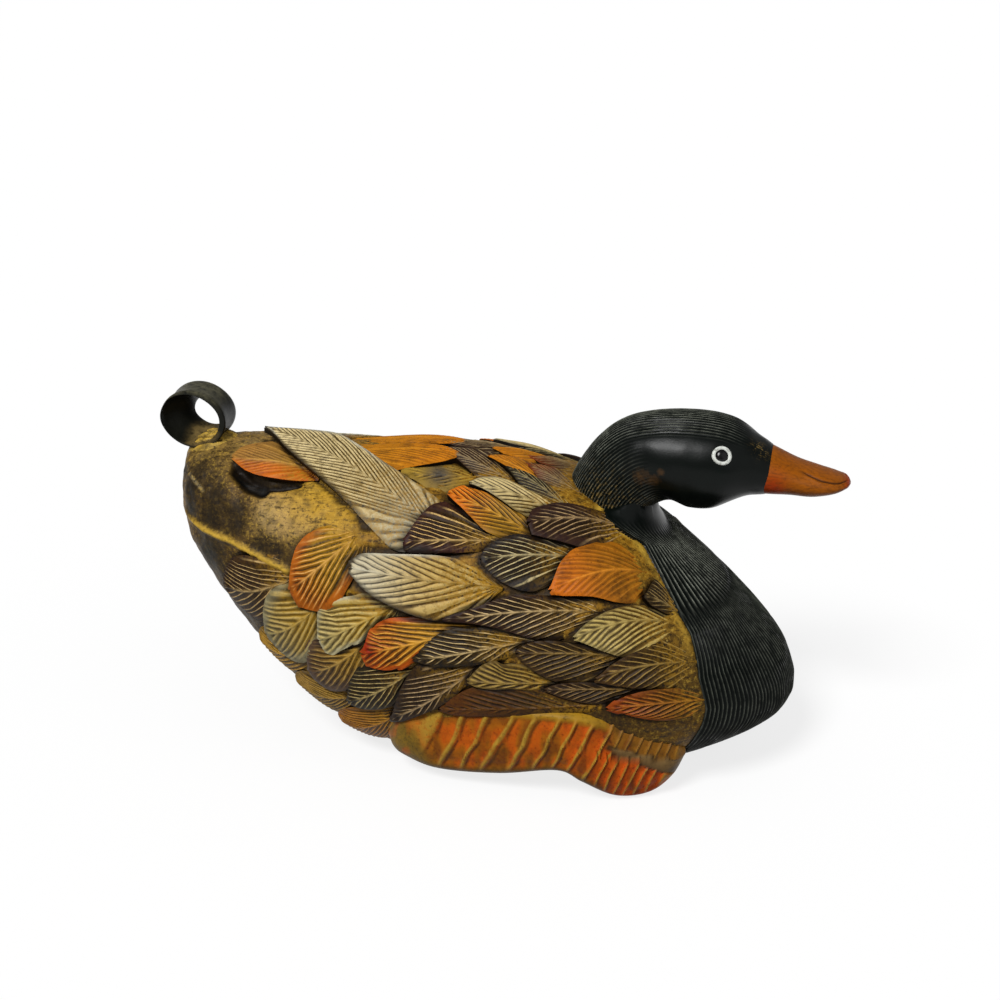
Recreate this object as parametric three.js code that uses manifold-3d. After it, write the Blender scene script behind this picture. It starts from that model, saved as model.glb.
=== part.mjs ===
// A carved and painted wooden drake, glued up from a hollowed two-part body, a head block, a bill,
// let-in eyes, a rolled tail curl, laid-on legs and inserted feathers, all located by dowels.
// Millimetres, +X towards the bill, +Z up, standing on the flat base of the belly.
import * as THREE from "three";
import { mergeVertices } from "three/addons/utils/BufferGeometryUtils.js";
import Module from "manifold-3d";

const wasm = await Module();
wasm.setup();

// Glue gap left round every tenon, dowel, seat and laid-on piece.
const glueGap = 0.3;

// Body: its outer size, and the seam between the back part and the belly part.
const bodyLength = 274;
const bodyHeight = 134;
const bodyWidth = 138;
const seamHeight = 46;

// Body sections from tail to breast. Each holds the place along the length, then the top, the widest level
// and the bottom as shares of the height, the half width as a share of half the body width, and how full the
// section is above and below its widest level (2 is an ellipse). A bottom below 0 is cut flat by the base.
const bodySections = [
  [0.0, 0.888, 0.836, 0.791, 0.02, 2.0, 2.0],
  [0.009, 0.955, 0.806, 0.679, 0.23, 2.0, 2.0],
  [0.042, 0.985, 0.761, 0.545, 0.41, 2.0, 1.9],
  [0.111, 1.0, 0.694, 0.351, 0.58, 2.0, 1.9],
  [0.203, 0.996, 0.612, 0.155, 0.74, 2.0, 2.0],
  [0.312, 0.993, 0.53, 0.005, 0.87, 2.1, 2.1],
  [0.44, 0.993, 0.463, -0.037, 0.97, 2.1, 2.2],
  [0.586, 0.955, 0.41, -0.037, 1.0, 2.2, 2.2],
  [0.714, 0.866, 0.366, -0.03, 0.985, 2.2, 2.2],
  [0.83, 0.678, 0.321, 0.04, 0.885, 2.2, 2.1],
  [0.918, 0.52, 0.284, 0.11, 0.667, 2.1, 2.0],
  [0.973, 0.403, 0.265, 0.165, 0.39, 2.0, 2.0],
  [0.996, 0.306, 0.261, 0.216, 0.13, 2.0, 2.0],
  [1.0, 0.265, 0.261, 0.257, 0.01, 2.0, 2.0],
];
const bodyRings = 40;
const bodyRingPoints = 36;

// Hollow gouged out of both body parts from the seam, an egg-shaped bowl in each.
const hollowCentre = 130;
const hollowLength = 120;
const hollowWidth = 92;
const hollowRise = 52;
const hollowDrop = 30;

// Dowels across the seam, one in front of the hollow and one behind it.
const bodyDowelDiameter = 9;
const bodyDowelLength = 24;
const bodyDowelSetback = 16;

// Head block: the neck root sits this far along the body, sunk into the shoulders.
const neckPlace = 195;
const neckSink = 24;
const neckDowelDiameter = 12;
const neckDowelLength = 44;

// The seat of the bill on the face, measured from the neck root: forward, up and lean in degrees.
const face = [64.5, 40.5, -6];

// Head sections from the neck root to the face, measured from the root: forward, up, lean of the section
// in degrees, half height and half width.
const headSections = [
  [-4, 0, 92, 22, 24],
  [-4, 20, 86, 19.5, 20],
  [2.5, 31.5, 66, 19.7, 20],
  [13.4, 39.8, 36, 21.1, 21],
  [28, 43.1, 10, 21.3, 22],
  [44, 42.8, -8, 20.8, 21],
  [57, 41.4, -12, 14.8, 17],
  [...face, 11.8, 14],
];
const headRings = 26;
const headRingPoints = 28;

// Bill sections, measured the same way, from the face to the tip.
const billSections = [
  [...face, 11.6, 13.8],
  [74.7, 38.6, -10, 8.8, 13.2],
  [84, 37.2, -10, 7.2, 12.8],
  [92.5, 36.6, -9, 4.8, 11],
  [98.5, 36.2, -4, 1.4, 5],
];
const billRings = 13;
const billRingPoints = 20;
const billDowelDiameter = 7;
const billDowelLength = 22;

// Eyes: where they lie along the head sections and how far up its side, and the ring and the pupil plug.
const eyeSection = 5;
const eyeAngle = 27;
const eyeRingDiameter = 8.4;
const eyePupilDiameter = 5;
const eyeSeatDepth = 2.4;
const eyePupilDepth = 6;
const eyeRingProud = 0.5;
const eyePupilProud = 0.8;
const eyeCutterProud = 3;

// Tail curl: an oval band rolled in the upright plane, leaning forward, on a stub tenon. Its hole narrows
// from a mouth on the right to a throat on the left, each set forward of the middle by its own offset.
const curlPlace = 6.8;
const curlLength = 29.6;
const curlHeight = 26;
const curlWidth = 17;
const curlLean = 12;
const curlMouthLength = 26;
const curlMouthHeight = 20;
const curlMouthOffset = -1.4;
const curlThroatLength = 17.6;
const curlThroatHeight = 16.4;
const curlThroatOffset = 3.2;
const curlPoints = 32;
const curlSink = 1.4;
const curlTenonLength = 9;
const curlTenonWidth = 11;
const curlTenonDepth = 13;
const curlTenonBite = 0.8;

// Legs: sections from heel to toe. Forward from the tail end, level, half height, and how far the outside
// stands beyond the flank of the body at that level. The upper edge is square, the lower one round.
const legSections = [
  [101.5, 18.5, 3, 0.5],
  [104.5, 19.5, 9.5, 4],
  [111, 21.5, 13.5, 6],
  [125.5, 23, 17.3, 7],
  [153.5, 25.5, 17.5, 7.5],
  [178.5, 28.7, 15.3, 8],
  [189.5, 26, 17.5, 9],
  [203.5, 20.5, 19.5, 10],
  [217.5, 18, 17, 10],
  [226.5, 19, 11, 8],
  [231.5, 20, 3, 3],
];
const legFullAbove = 4;
const legFullBelow = 2.2;
const legRings = 26;
const legRingPoints = 22;
const legDepth = 14;
const legPegDiameter = 6;
const legPegLength = 16;
const legPegInset = 26;
const legPegDepth = 12;

// Feathers: root and tip as the distance from the tail end and the angle round the body in degrees (0 at the
// widest level of the flank, 90 on top of the back). Their widths above and below the rib are given at these
// shares of the length, from root to tip.
const outlineShares = [0, 0.3, 0.55, 0.8, 0.93, 1];

// Inserted feathers: plates that lie on the body, thinner at the root, the same on both sides but for the
// place and the lift of their tips.
const insertedFeathers = {
  wing_primary: {
    root: [122, 47],
    tips: { right: [36, 81], left: [40, 72] },
    lifts: { right: 2.6, left: 0.1 },
    up: [4, 9.8, 12.5, 10, 3, 0.5],
    low: [8, 16.5, 14, 8.5, 3, 0.5],
    thickness: 2.6,
  },
  wing_tertial: {
    root: [154.6, 29.3],
    tips: { right: [87.5, 23.9], left: [87.5, 23.9] },
    lifts: { right: 1.7, left: 1.7 },
    up: [1, 10, 9.8, 7.8, 7.5, 3.6],
    low: [1, 12, 14.3, 10, 5, 0.5],
    thickness: 2.6,
  },
  tail_feather: {
    root: [57, 52],
    tips: { right: [28.7, 56.5], left: [28.7, 52] },
    lifts: { right: 2.5, left: 2.5 },
    up: [2, 4.5, 4.5, 3.5, 1.5, 0.5],
    low: [5, 7.5, 7.5, 5, 2, 0.5],
    thickness: 2.2,
  },
};
const plateRows = 10;
const plateColumns = 6;
const plateRamp = 0.6;
const plateRootThin = 0.4;
const roomPast = 0.02;

// Feathers carved in the body itself, the same on both sides, rising from the root to a proud tip.
// Each holds its root, its tip, its widths above and below the rib, and its lift.
const carvedFeathers = [
  [[71.4, 18], [27, -24], [7.6, 10.8, 12.9, 9.6, 4.2, 0.3], [5.7, 8.1, 10, 9.5, 6, 1.1], 3],
  [[94.7, 42.1], [61.8, 4.4], [7.6, 11, 12.4, 7.9, 3.3, 0.3], [7.2, 10.2, 12.2, 11.5, 7.9, 5.3], 3.2],
  [[84.2, 14.4], [48, -27.1], [9, 13.1, 14.6, 9.9, 4.6, 0.3], [6, 8.6, 10.8, 11.7, 8.6, 1.4], 3.2],
  [[112.7, 17.6], [75, -8.4], [6.4, 9.2, 11.1, 10.3, 4.8, 0.3], [3.4, 4.8, 5.6, 5.5, 6.5, 4.3], 3.2],
  [[104.4, 6.3], [68.2, -27.9], [4.6, 6.5, 8, 10.4, 4.2, 0.3], [5.7, 8, 9.8, 9.6, 8.3, 2.5], 3],
  [[125, 1.6], [85.4, -30.3], [6.2, 8.7, 10.7, 7.7, 2.6, 0.3], [4.6, 6.5, 7.7, 6.2, 4.3, 0.7], 3],
  [[150.4, 6.8], [104.6, -29.3], [8.2, 11.9, 12.8, 6.2, 1.2, 0.3], [2.5, 3.6, 3.9, 3.4, 3.2, 1.8], 3],
  [[152.1, 18.6], [94.5, -4.7], [5.9, 8.3, 10.2, 10, 3.4, 0.3], [2, 2.9, 4.4, 8.6, 7.1, 5], 3.4],
  [[173.1, 15.3], [117.5, -0.2], [6.2, 8.9, 10.2, 7.6, 2.7, 0.3], [3.3, 5.2, 5.3, 3.6, 1.9, 0.4], 3.2],
  [[79.8, 81.8], [125.4, 84.2], [6.8, 9.7, 10.2, 6.9, 5.2, 3.2], [4.8, 7.5, 8, 6.9, 4.7, 0.3], 3.2],
  [[147.7, 73.9], [104.1, 66.9], [6.3, 8.9, 9.6, 6.7, 5.9, 5.9], [6.2, 8.7, 10.6, 5.2, 0.9, 0.3], 2.2],
  [[156.4, 73.2], [115, 86], [8.5, 12.1, 14.8, 8.4, 2.2, 0.3], [4.3, 9.5, 6.4, 1.5, 0.3, 0.7], 2.8],
  [[168.6, 78.1], [138, 86], [5.2, 7.3, 9.1, 7.4, 2.4, 0.3], [2.1, 3.7, 3.3, 1.7, 0.5, 0.3], 2.8],
  [[182.9, 78.6], [153.5, 87], [6.6, 9.4, 10.1, 4.4, 1.2, 0.3], [4.8, 7.4, 7.6, 2.9, 0.5, 0.3], 2.6],
  [[183.7, 65.9], [147.1, 81], [3.2, 4.6, 5.3, 4.3, 2.4, 0.8], [4.6, 6.7, 7.5, 4.1, 1.1, 0.3], 2.8],
  [[180.9, 64.7], [134.3, 66.3], [4, 5.7, 7.2, 7.8, 4.5, 0.3], [5, 7.3, 7.6, 2.6, 0.6, 0.3], 3],
  [[171.5, 50.4], [126.5, 59.8], [5, 7, 8.5, 8.8, 7.1, 0.5], [6.1, 8.7, 9.5, 4.7, 2.2, 0.3], 3.2],
  [[154.5, 46.4], [110.9, 38.1], [10.7, 15.1, 17.9, 11.4, 4.2, 0.3], [3.2, 4.6, 5.4, 5, 5, 3.1], 3.4],
  [[205, 74.1], [161.7, 54.4], [4.5, 6.4, 7.7, 7.2, 5.8, 0.3], [9, 13, 14.3, 9.5, 6.7, 4.9], 3],
  [[187.1, 49.2], [144, 37], [5.3, 7.5, 8.8, 7, 4.1, 0.6], [8.6, 12.2, 14.1, 10.7, 5.6, 0.3], 3.2],
  [[217.1, 60.7], [173.7, 32], [6.7, 12.3, 11, 8.1, 2.9, 0.3], [7.4, 11.6, 11.2, 5.8, 3.4, 1.2], 3.4],
  [[204.4, 32.7], [128.7, 14.7], [4, 5.7, 6.7, 3.2, 1.5, 0.3], [6.4, 9.8, 9.6, 3.1, 1.1, 0.3], 3.2],
  [[230.5, 46], [184.8, 18.7], [3.2, 4.9, 5, 3.6, 1.9, 0.3], [8.1, 11.6, 13.3, 8.7, 3.4, 0.3], 3],
  [[215.3, 19.5], [161.4, 9.4], [2.1, 3, 3.8, 4.8, 3.3, 0.6], [7.6, 10.9, 12.6, 9.9, 5, 0.3], 2.8],
  [[240.2, 30.2], [193.8, 7.1], [4.3, 9.9, 6, 3.2, 0.8, 0.3], [6.1, 10.6, 9.5, 5.9, 3, 1.1], 2.8],
  [[185.4, 3.3], [141, -2], [5.8, 8.2, 9.6, 7.2, 3, 0.3], [1.9, 2.8, 3.2, 3.2, 2.7, 0.7], 2.6],
  [[245.7, 9.4], [199.3, -1.2], [3.5, 5.1, 5.8, 4.5, 2.6, 0.3], [5.6, 8, 9, 5.7, 2.7, 0.3], 3],
];
const carvedColumns = 2;
const carvedCamber = 1.2;
const carvedRamp = 0.75;
const carvedSink = 2;

const dowelFacets = 20;
const dowelChamfer = 0.8;
const degree = Math.PI / 180;

// A row of sections as a smooth function of the section number.
function smoothSections(sections) {
  const numbers = sections.map((_, index) => index);
  return new THREE.CubicInterpolant(numbers, sections.flat(), sections[0].length);
}

// The section number at which a row's first value reaches a place, found by halving.
function numberAt(line, count, place) {
  let low = 0;
  let high = count - 1;
  for (let step = 0; step < 40; step++) {
    const middle = (low + high) / 2;
    if (line.evaluate(middle)[0] < place) {
      low = middle;
    } else {
      high = middle;
    }
  }
  return (low + high) / 2;
}

// A power that keeps the sign, for full and lean ovals.
function signedPower(value, power) {
  return Math.sign(value) * Math.abs(value) ** power;
}

// A closed skin over rings of equally many points, with a fan over each end. Rings follow each other along
// their axis and run from the right side over the top.
function skinOver(rings) {
  const count = rings[0].length;
  const positions = rings.flat().flatMap((point) => point.toArray());
  const triangles = [];
  for (let ring = 0; ring + 1 < rings.length; ring++) {
    for (let corner = 0; corner < count; corner++) {
      const here = ring * count + corner;
      const above = ring * count + ((corner + 1) % count);
      triangles.push(here, here + count, above, above, here + count, above + count);
    }
  }
  const last = (rings.length - 1) * count;
  for (const [ring, start, turn] of [[rings[0], 0, false], [rings.at(-1), last, true]]) {
    const middle = positions.length / 3;
    const centre = ring.reduce((sum, point) => sum.add(point), new THREE.Vector3()).divideScalar(count);
    positions.push(...centre.toArray());
    for (let corner = 0; corner < count; corner++) {
      const here = start + corner;
      const above = start + ((corner + 1) % count);
      triangles.push(middle, ...(turn ? [above, here] : [here, above]));
    }
  }
  const geometry = new THREE.BufferGeometry();
  geometry.setAttribute("position", new THREE.Float32BufferAttribute(positions, 3));
  geometry.setIndex(triangles);
  return geometry;
}

// A closed geometry as a solid that can be joined and cut.
function solidOf(geometry) {
  const bare = geometry.clone();
  bare.deleteAttribute("normal");
  bare.deleteAttribute("uv");
  const merged = mergeVertices(bare);
  const vertProperties = new Float32Array(merged.attributes.position.array);
  const triVerts = new Uint32Array(merged.index.array);
  return new wasm.Manifold(new wasm.Mesh({ numProp: 3, vertProperties, triVerts }));
}

function geometryOf(solid) {
  const mesh = solid.getMesh();
  const geometry = new THREE.BufferGeometry();
  geometry.setAttribute("position", new THREE.Float32BufferAttribute(mesh.vertProperties, 3));
  geometry.setIndex(Array.from(mesh.triVerts));
  geometry.computeVertexNormals();
  return geometry;
}

// The same piece for the other side of the bird.
function mirrored(geometry) {
  const other = geometry.clone();
  other.scale(1, -1, 1);
  const corners = Array.from(other.index.array);
  for (let first = 0; first < corners.length; first += 3) {
    [corners[first], corners[first + 1]] = [corners[first + 1], corners[first]];
  }
  other.setIndex(corners);
  other.computeVertexNormals();
  return other;
}

// A round peg about +Z with broken edges, centred on the origin.
function pegGeometry(diameter, length) {
  const radius = diameter / 2;
  const half = length / 2;
  const chamfer = Math.min(dowelChamfer, radius / 2);
  const profile = [
    new THREE.Vector2(0, -half),
    new THREE.Vector2(radius - chamfer, -half),
    new THREE.Vector2(radius, -half + chamfer),
    new THREE.Vector2(radius, half - chamfer),
    new THREE.Vector2(radius - chamfer, half),
    new THREE.Vector2(0, half),
  ];
  return new THREE.LatheGeometry(profile, dowelFacets).rotateX(90 * degree);
}

// A piece that lies about +Z, stood up along a direction at a point.
function stoodAt(geometry, point, direction) {
  const turn = new THREE.Quaternion().setFromUnitVectors(new THREE.Vector3(0, 0, 1), direction);
  return geometry.applyQuaternion(turn).translate(point.x, point.y, point.z);
}

// A dowel and the hole that takes it, both about the same line.
function dowelPair(diameter, length, point, direction) {
  const dowel = stoodAt(pegGeometry(diameter, length), point, direction);
  const hole = stoodAt(pegGeometry(diameter + 2 * glueGap, length + 2 * glueGap), point, direction);
  return { dowel, hole: solidOf(hole) };
}

// Body surface
const bodyLine = smoothSections(bodySections);

function bodySectionAt(number) {
  const [along, top, level, bottom, half, fullAbove, fullBelow] = bodyLine.evaluate(number);
  return {
    x: along * bodyLength,
    top: top * bodyHeight,
    level: level * bodyHeight,
    bottom: bottom * bodyHeight,
    half: (half * bodyWidth) / 2,
    fullAbove,
    fullBelow,
  };
}

function bodyNumberAt(x) {
  return numberAt(bodyLine, bodySections.length, x / bodyLength);
}

// A point of one section, at an angle round it, standing proud by a distance.
function bodySectionPoint(section, angle, proud = 0) {
  const above = Math.sin(angle) >= 0;
  const power = 2 / (above ? section.fullAbove : section.fullBelow);
  const reach = above ? section.top - section.level : section.level - section.bottom;
  const y = -(section.half + proud) * signedPower(Math.cos(angle), power);
  const z = section.level + (reach + proud) * signedPower(Math.sin(angle), power);
  return new THREE.Vector3(section.x, y, z);
}

function bodyPoint(x, angle) {
  return bodySectionPoint(bodySectionAt(bodyNumberAt(x)), angle);
}

// How far the flank stands out from the middle plane at a place and level.
function flankReach(x, z) {
  const section = bodySectionAt(bodyNumberAt(x));
  const above = z >= section.level;
  const full = above ? section.fullAbove : section.fullBelow;
  const reach = above ? section.top - section.level : section.level - section.bottom;
  const share = Math.min(1, Math.abs(z - section.level) / reach);
  return section.half * (1 - share ** full) ** (1 / full);
}

function bodyTop(x) {
  return bodySectionAt(bodyNumberAt(x)).top;
}

// The whole carved body before it is sawn at the seam, standing proud all round by a distance.
function bodyBlock(proud = 0) {
  const rings = [];
  for (let ring = 0; ring < bodyRings; ring++) {
    const section = bodySectionAt((ring / (bodyRings - 1)) * (bodySections.length - 1));
    const points = [];
    for (let corner = 0; corner < bodyRingPoints; corner++) {
      points.push(bodySectionPoint(section, (corner / bodyRingPoints) * 2 * Math.PI, proud));
    }
    rings.push(points);
  }
  return solidOf(skinOver(rings));
}

// A slab that reaches past the body everywhere, between two levels.
function slabBetween(low, high) {
  const slab = new THREE.BoxGeometry(3 * bodyLength, 3 * bodyWidth, high - low);
  return solidOf(slab.translate(bodyLength / 2, 0, (low + high) / 2));
}

// Head and bill surface
const neckRoot = new THREE.Vector3(neckPlace, 0, bodyTop(neckPlace) - neckSink);

function headRing(line, number, points, proud = 0) {
  const [forward, up, lean, halfHeight, halfWidth] = line.evaluate(number);
  const ring = [];
  for (let corner = 0; corner < points; corner++) {
    const angle = (corner / points) * 2 * Math.PI;
    ring.push(headPoint(forward, up, lean, halfHeight + proud, halfWidth + proud, angle));
  }
  return ring;
}

function headPoint(forward, up, lean, halfHeight, halfWidth, angle) {
  const rise = Math.sin(angle) * halfHeight;
  return new THREE.Vector3(
    neckRoot.x + forward - rise * Math.sin(lean * degree),
    -Math.cos(angle) * halfWidth,
    neckRoot.z + up + rise * Math.cos(lean * degree),
  );
}

function headSkin(sections, ringCount, points, proud = 0) {
  const line = smoothSections(sections);
  const rings = [];
  for (let ring = 0; ring < ringCount; ring++) {
    rings.push(headRing(line, (ring / (ringCount - 1)) * (sections.length - 1), points, proud));
  }
  return skinOver(rings);
}

// The direction in which a head section faces.
function headFacing(section) {
  const lean = section[2] * degree;
  return new THREE.Vector3(Math.cos(lean), 0, Math.sin(lean));
}

// Tail curl
function curlOval(length, height, offset, y) {
  const centre = bodyTop(curlPlace) + curlHeight / 2 - curlSink;
  const points = [];
  for (let corner = 0; corner < curlPoints; corner++) {
    const angle = (corner / curlPoints) * 2 * Math.PI;
    const oval = new THREE.Vector2(Math.cos(angle) * length, Math.sin(angle) * height).divideScalar(2);
    oval.rotateAround(new THREE.Vector2(), -curlLean * degree);
    points.push(new THREE.Vector3(curlPlace + offset + oval.x, y, centre + oval.y));
  }
  return points;
}

// The band with its narrowing hole, which runs out past both sides.
function curlBand() {
  const side = curlWidth / 2;
  const past = 1;
  const rim = skinOver([
    curlOval(curlLength, curlHeight, 0, -side),
    curlOval(curlLength, curlHeight, 0, side),
  ]);
  const hole = skinOver([
    curlOval(curlMouthLength, curlMouthHeight, curlMouthOffset, -side - past),
    curlOval(curlThroatLength, curlThroatHeight, curlThroatOffset, side + past),
  ]);
  return solidOf(rim).subtract(solidOf(hole));
}

// The stub below the curl, from inside the floor of its band down into the tail.
function curlTenon(clearance) {
  const floor = (curlHeight - curlMouthHeight) / 2;
  const top = bodyTop(curlPlace) - curlSink + curlTenonBite * floor;
  const bottom = bodyTop(curlPlace) - curlTenonDepth - clearance;
  const tenon = new THREE.BoxGeometry(
    curlTenonLength + 2 * clearance,
    curlTenonWidth + 2 * clearance,
    top - bottom,
  );
  return solidOf(tenon.translate(curlPlace, 0, (top + bottom) / 2));
}

// Legs
const legLine = smoothSections(legSections);

function legGeometry(clearance = 0) {
  const rings = [];
  for (let ring = 0; ring < legRings; ring++) {
    const number = (ring / (legRings - 1)) * (legSections.length - 1);
    const [x, level, halfHeight, proud] = legLine.evaluate(number);
    const outside = flankReach(x, level) + proud + clearance;
    const halfDepth = (legDepth + proud) / 2 + clearance;
    const points = [];
    for (let corner = 0; corner < legRingPoints; corner++) {
      const angle = (corner / legRingPoints) * 2 * Math.PI;
      const power = 2 / (Math.sin(angle) >= 0 ? legFullAbove : legFullBelow);
      const y = -(outside - halfDepth + halfDepth * signedPower(Math.cos(angle), power));
      const z = level + (halfHeight + clearance) * signedPower(Math.sin(angle), power);
      points.push(new THREE.Vector3(x, y, Math.max(z, glueGap)));
    }
    rings.push(points);
  }
  return skinOver(rings);
}

// Where a leg peg goes in: on the flank, level with the leg there, pointing out to the right.
function legPegPoint(x) {
  const level = legLine.evaluate(numberAt(legLine, legSections.length, x))[1];
  return new THREE.Vector3(x, legPegDepth - legPegLength / 2 - flankReach(x, level), level);
}

// A feather's place on the body at a share of its length: the surface beside its rib, and its facing.
function featherPlace(root, tip, share) {
  const step = 0.01;
  const x = THREE.MathUtils.lerp(root[0], tip[0], share);
  const angle = THREE.MathUtils.lerp(root[1], tip[1], share) * degree;
  const here = bodyPoint(x, angle);
  const perX = bodyPoint(x + step, angle).sub(here).divideScalar(step);
  const perAngle = bodyPoint(x, angle + step).sub(here).divideScalar(step);
  const along = perX.clone().multiplyScalar(tip[0] - root[0]);
  along.addScaledVector(perAngle, (tip[1] - root[1]) * degree).normalize();
  const out = perX.clone().cross(perAngle).normalize();
  const across = out.clone().cross(along).normalize();
  const turn = across.dot(perAngle) / perAngle.lengthSq();
  const run = across.dot(perX) / perX.lengthSq();
  return { out, beside: (offset) => bodyPoint(x + run * offset, angle + turn * offset) };
}

// A closed feather over the body between two heights, each given at a share of the length and, from -1 to 1,
// of the width. A margin widens it all round its sides.
function featherGeometry({ root, tip, up, low }, shares, columns, margin, bottomAt, topAt) {
  const upper = new THREE.LinearInterpolant(outlineShares, up, 1);
  const lower = new THREE.LinearInterpolant(outlineShares, low, 1);
  const rings = [];
  for (const share of shares) {
    const { out, beside } = featherPlace(root, tip, share);
    const above = upper.evaluate(share)[0] + margin;
    const below = lower.evaluate(share)[0] + margin;
    const outer = [];
    const inner = [];
    for (let column = 0; column <= columns; column++) {
      const part = (2 * column) / columns - 1;
      const surface = beside(part * (part < 0 ? above : below));
      inner.unshift(surface.clone().addScaledVector(out, bottomAt(share)));
      outer.push(surface.addScaledVector(out, topAt(share, part)));
    }
    rings.push([...outer, ...inner]);
  }
  return skinOver(rings);
}

const plateShares = Array.from({ length: plateRows + 1 }, (_, row) => row / plateRows);

// A plate's underside lies a glue gap above the body and lifts at the tip.
function plateBottom(lift, share) {
  return glueGap + lift * THREE.MathUtils.smoothstep(share, 0, plateRamp);
}

function plateTop(thickness, lift, share) {
  const full = THREE.MathUtils.smoothstep(share, 0, plateRamp);
  return plateBottom(lift, share) + thickness * THREE.MathUtils.lerp(plateRootThin, 1, full);
}

function plateGeometry({ thickness, lift, ...outline }) {
  const bottomAt = (share) => plateBottom(lift, share);
  const topAt = (share) => plateTop(thickness, lift, share);
  return featherGeometry(outline, plateShares, plateColumns, 0, bottomAt, topAt);
}

// The room that a plate needs among the carved feathers, a little past both of its ends.
function plateRoom({ thickness, lift, ...outline }) {
  const shares = [-roomPast, ...plateShares, 1 + roomPast];
  const topAt = (share) => plateTop(thickness, lift, share) + glueGap;
  return featherGeometry(outline, shares, plateColumns, 2 * glueGap, () => -glueGap, topAt);
}

// A carved feather is sunk in the body, and its margins lie lower than its rib.
function carvedGeometry([root, tip, up, low, lift]) {
  const topAt = (share, part) =>
    lift * THREE.MathUtils.smoothstep(share, 0, carvedRamp) - carvedCamber * part ** 2;
  return featherGeometry({ root, tip, up, low }, outlineShares, carvedColumns, 0, () => -carvedSink, topAt);
}

// Colour, roughness and metalness of each finish.
const finishes = {
  feathers: { color: 0x8a6430, roughness: 0.6, metalness: 0 },
  breast: { color: 0x6f4c20, roughness: 0.6, metalness: 0 },
  black: { color: 0x14181a, roughness: 0.4, metalness: 0 },
  orange: { color: 0xb8641a, roughness: 0.5, metalness: 0 },
  silver: { color: 0xb9b39a, roughness: 0.55, metalness: 0 },
  white: { color: 0xf2f0ea, roughness: 0.4, metalness: 0 },
  pupil: { color: 0x0a0a0a, roughness: 0.2, metalness: 0 },
  curl: { color: 0x2c2a26, roughness: 0.45, metalness: 0 },
  beech: { color: 0xc8a574, roughness: 0.7, metalness: 0 },
};

const duck = new THREE.Group();

function addPiece(name, geometry, finish) {
  const piece = new THREE.Mesh(geometry, new THREE.MeshStandardMaterial(finishes[finish]));
  piece.name = name;
  duck.add(piece);
}

const up = new THREE.Vector3(0, 0, 1);
const toRight = new THREE.Vector3(0, -1, 0);

// Pieces are shaped on the right flank and turned over for the left.
const sides = [
  { name: "right", toSide: (geometry) => geometry },
  { name: "left", toSide: mirrored },
];

// Dowels and the holes that they need
const seamPoint = (x) => new THREE.Vector3(x, 0, seamHeight);
const rearDowelPlace = hollowCentre - hollowLength / 2 - bodyDowelSetback;
const frontDowelPlace = hollowCentre + hollowLength / 2 + bodyDowelSetback;
const rearDowel = dowelPair(bodyDowelDiameter, bodyDowelLength, seamPoint(rearDowelPlace), up);
const frontDowel = dowelPair(bodyDowelDiameter, bodyDowelLength, seamPoint(frontDowelPlace), up);
const neckDowel = dowelPair(neckDowelDiameter, neckDowelLength, neckRoot, up);
const faceSection = headSections.at(-1);
const facePoint = new THREE.Vector3(neckRoot.x + faceSection[0], 0, neckRoot.z + faceSection[1]);
const billDowel = dowelPair(billDowelDiameter, billDowelLength, facePoint, headFacing(faceSection));
const legPegRear = legPegPoint(legSections[0][0] + legPegInset);
const legPegFront = legPegPoint(legSections.at(-1)[0] - legPegInset);
const legPegs = {
  rear: dowelPair(legPegDiameter, legPegLength, legPegRear, toRight),
  front: dowelPair(legPegDiameter, legPegLength, legPegFront, toRight),
};

// The legs are cut to the flank, and drilled for their pegs.
const proudBody = bodyBlock(glueGap);
let leg = solidOf(legGeometry()).subtract(proudBody);
for (const peg of Object.values(legPegs)) {
  leg = leg.subtract(peg.hole);
}
const rightLeg = geometryOf(leg);

// An inserted feather with the tip and lift of one side.
function onSide({ tips, lifts, ...shape }, name) {
  return { ...shape, tip: tips[name], lift: lifts[name] };
}

// The feathers carved on one side, which leave room for the leg and the inserted plates.
function carvedSide({ name, toSide }) {
  const feathers = carvedFeathers.map((shape) => solidOf(carvedGeometry(shape)));
  let carving = feathers.reduce((all, feather) => all.add(feather));
  carving = carving.subtract(solidOf(legGeometry(glueGap)));
  for (const shape of Object.values(insertedFeathers)) {
    carving = carving.subtract(solidOf(plateRoom(onSide(shape, name))));
  }
  return solidOf(toSide(geometryOf(carving)));
}

// The body gains its feathers, loses its hollow, its holes, the neck socket and the tail slot, and is sawn
// at the seam.
const neckSocket = headSkin(headSections, headRings, headRingPoints, glueGap).translate(0, 0, -glueGap);
const hollowAbove = new THREE.SphereGeometry(1, 28, 16).scale(hollowLength / 2, hollowWidth / 2, hollowRise);
const hollowBelow = new THREE.SphereGeometry(1, 28, 16).scale(hollowLength / 2, hollowWidth / 2, hollowDrop);
let body = bodyBlock();
for (const side of sides) {
  body = body.add(carvedSide(side));
}
for (const peg of Object.values(legPegs)) {
  body = body.subtract(peg.hole);
  body = body.subtract(solidOf(mirrored(geometryOf(peg.hole))));
}
for (const { hole } of [rearDowel, frontDowel, neckDowel]) {
  body = body.subtract(hole);
}
body = body.subtract(solidOf(neckSocket));
body = body.subtract(curlTenon(glueGap));
const upperBody = body
  .intersect(slabBetween(seamHeight + glueGap / 2, 2 * bodyHeight))
  .subtract(solidOf(hollowAbove.translate(hollowCentre, 0, seamHeight)));
const lowerBody = body
  .intersect(slabBetween(0, seamHeight - glueGap / 2))
  .subtract(solidOf(hollowBelow.translate(hollowCentre, 0, seamHeight)));
addPiece("body_upper", geometryOf(upperBody), "feathers");
addPiece("body_lower", geometryOf(lowerBody), "breast");
addPiece("body_dowel_rear", rearDowel.dowel, "beech");
addPiece("body_dowel_front", frontDowel.dowel, "beech");

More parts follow.
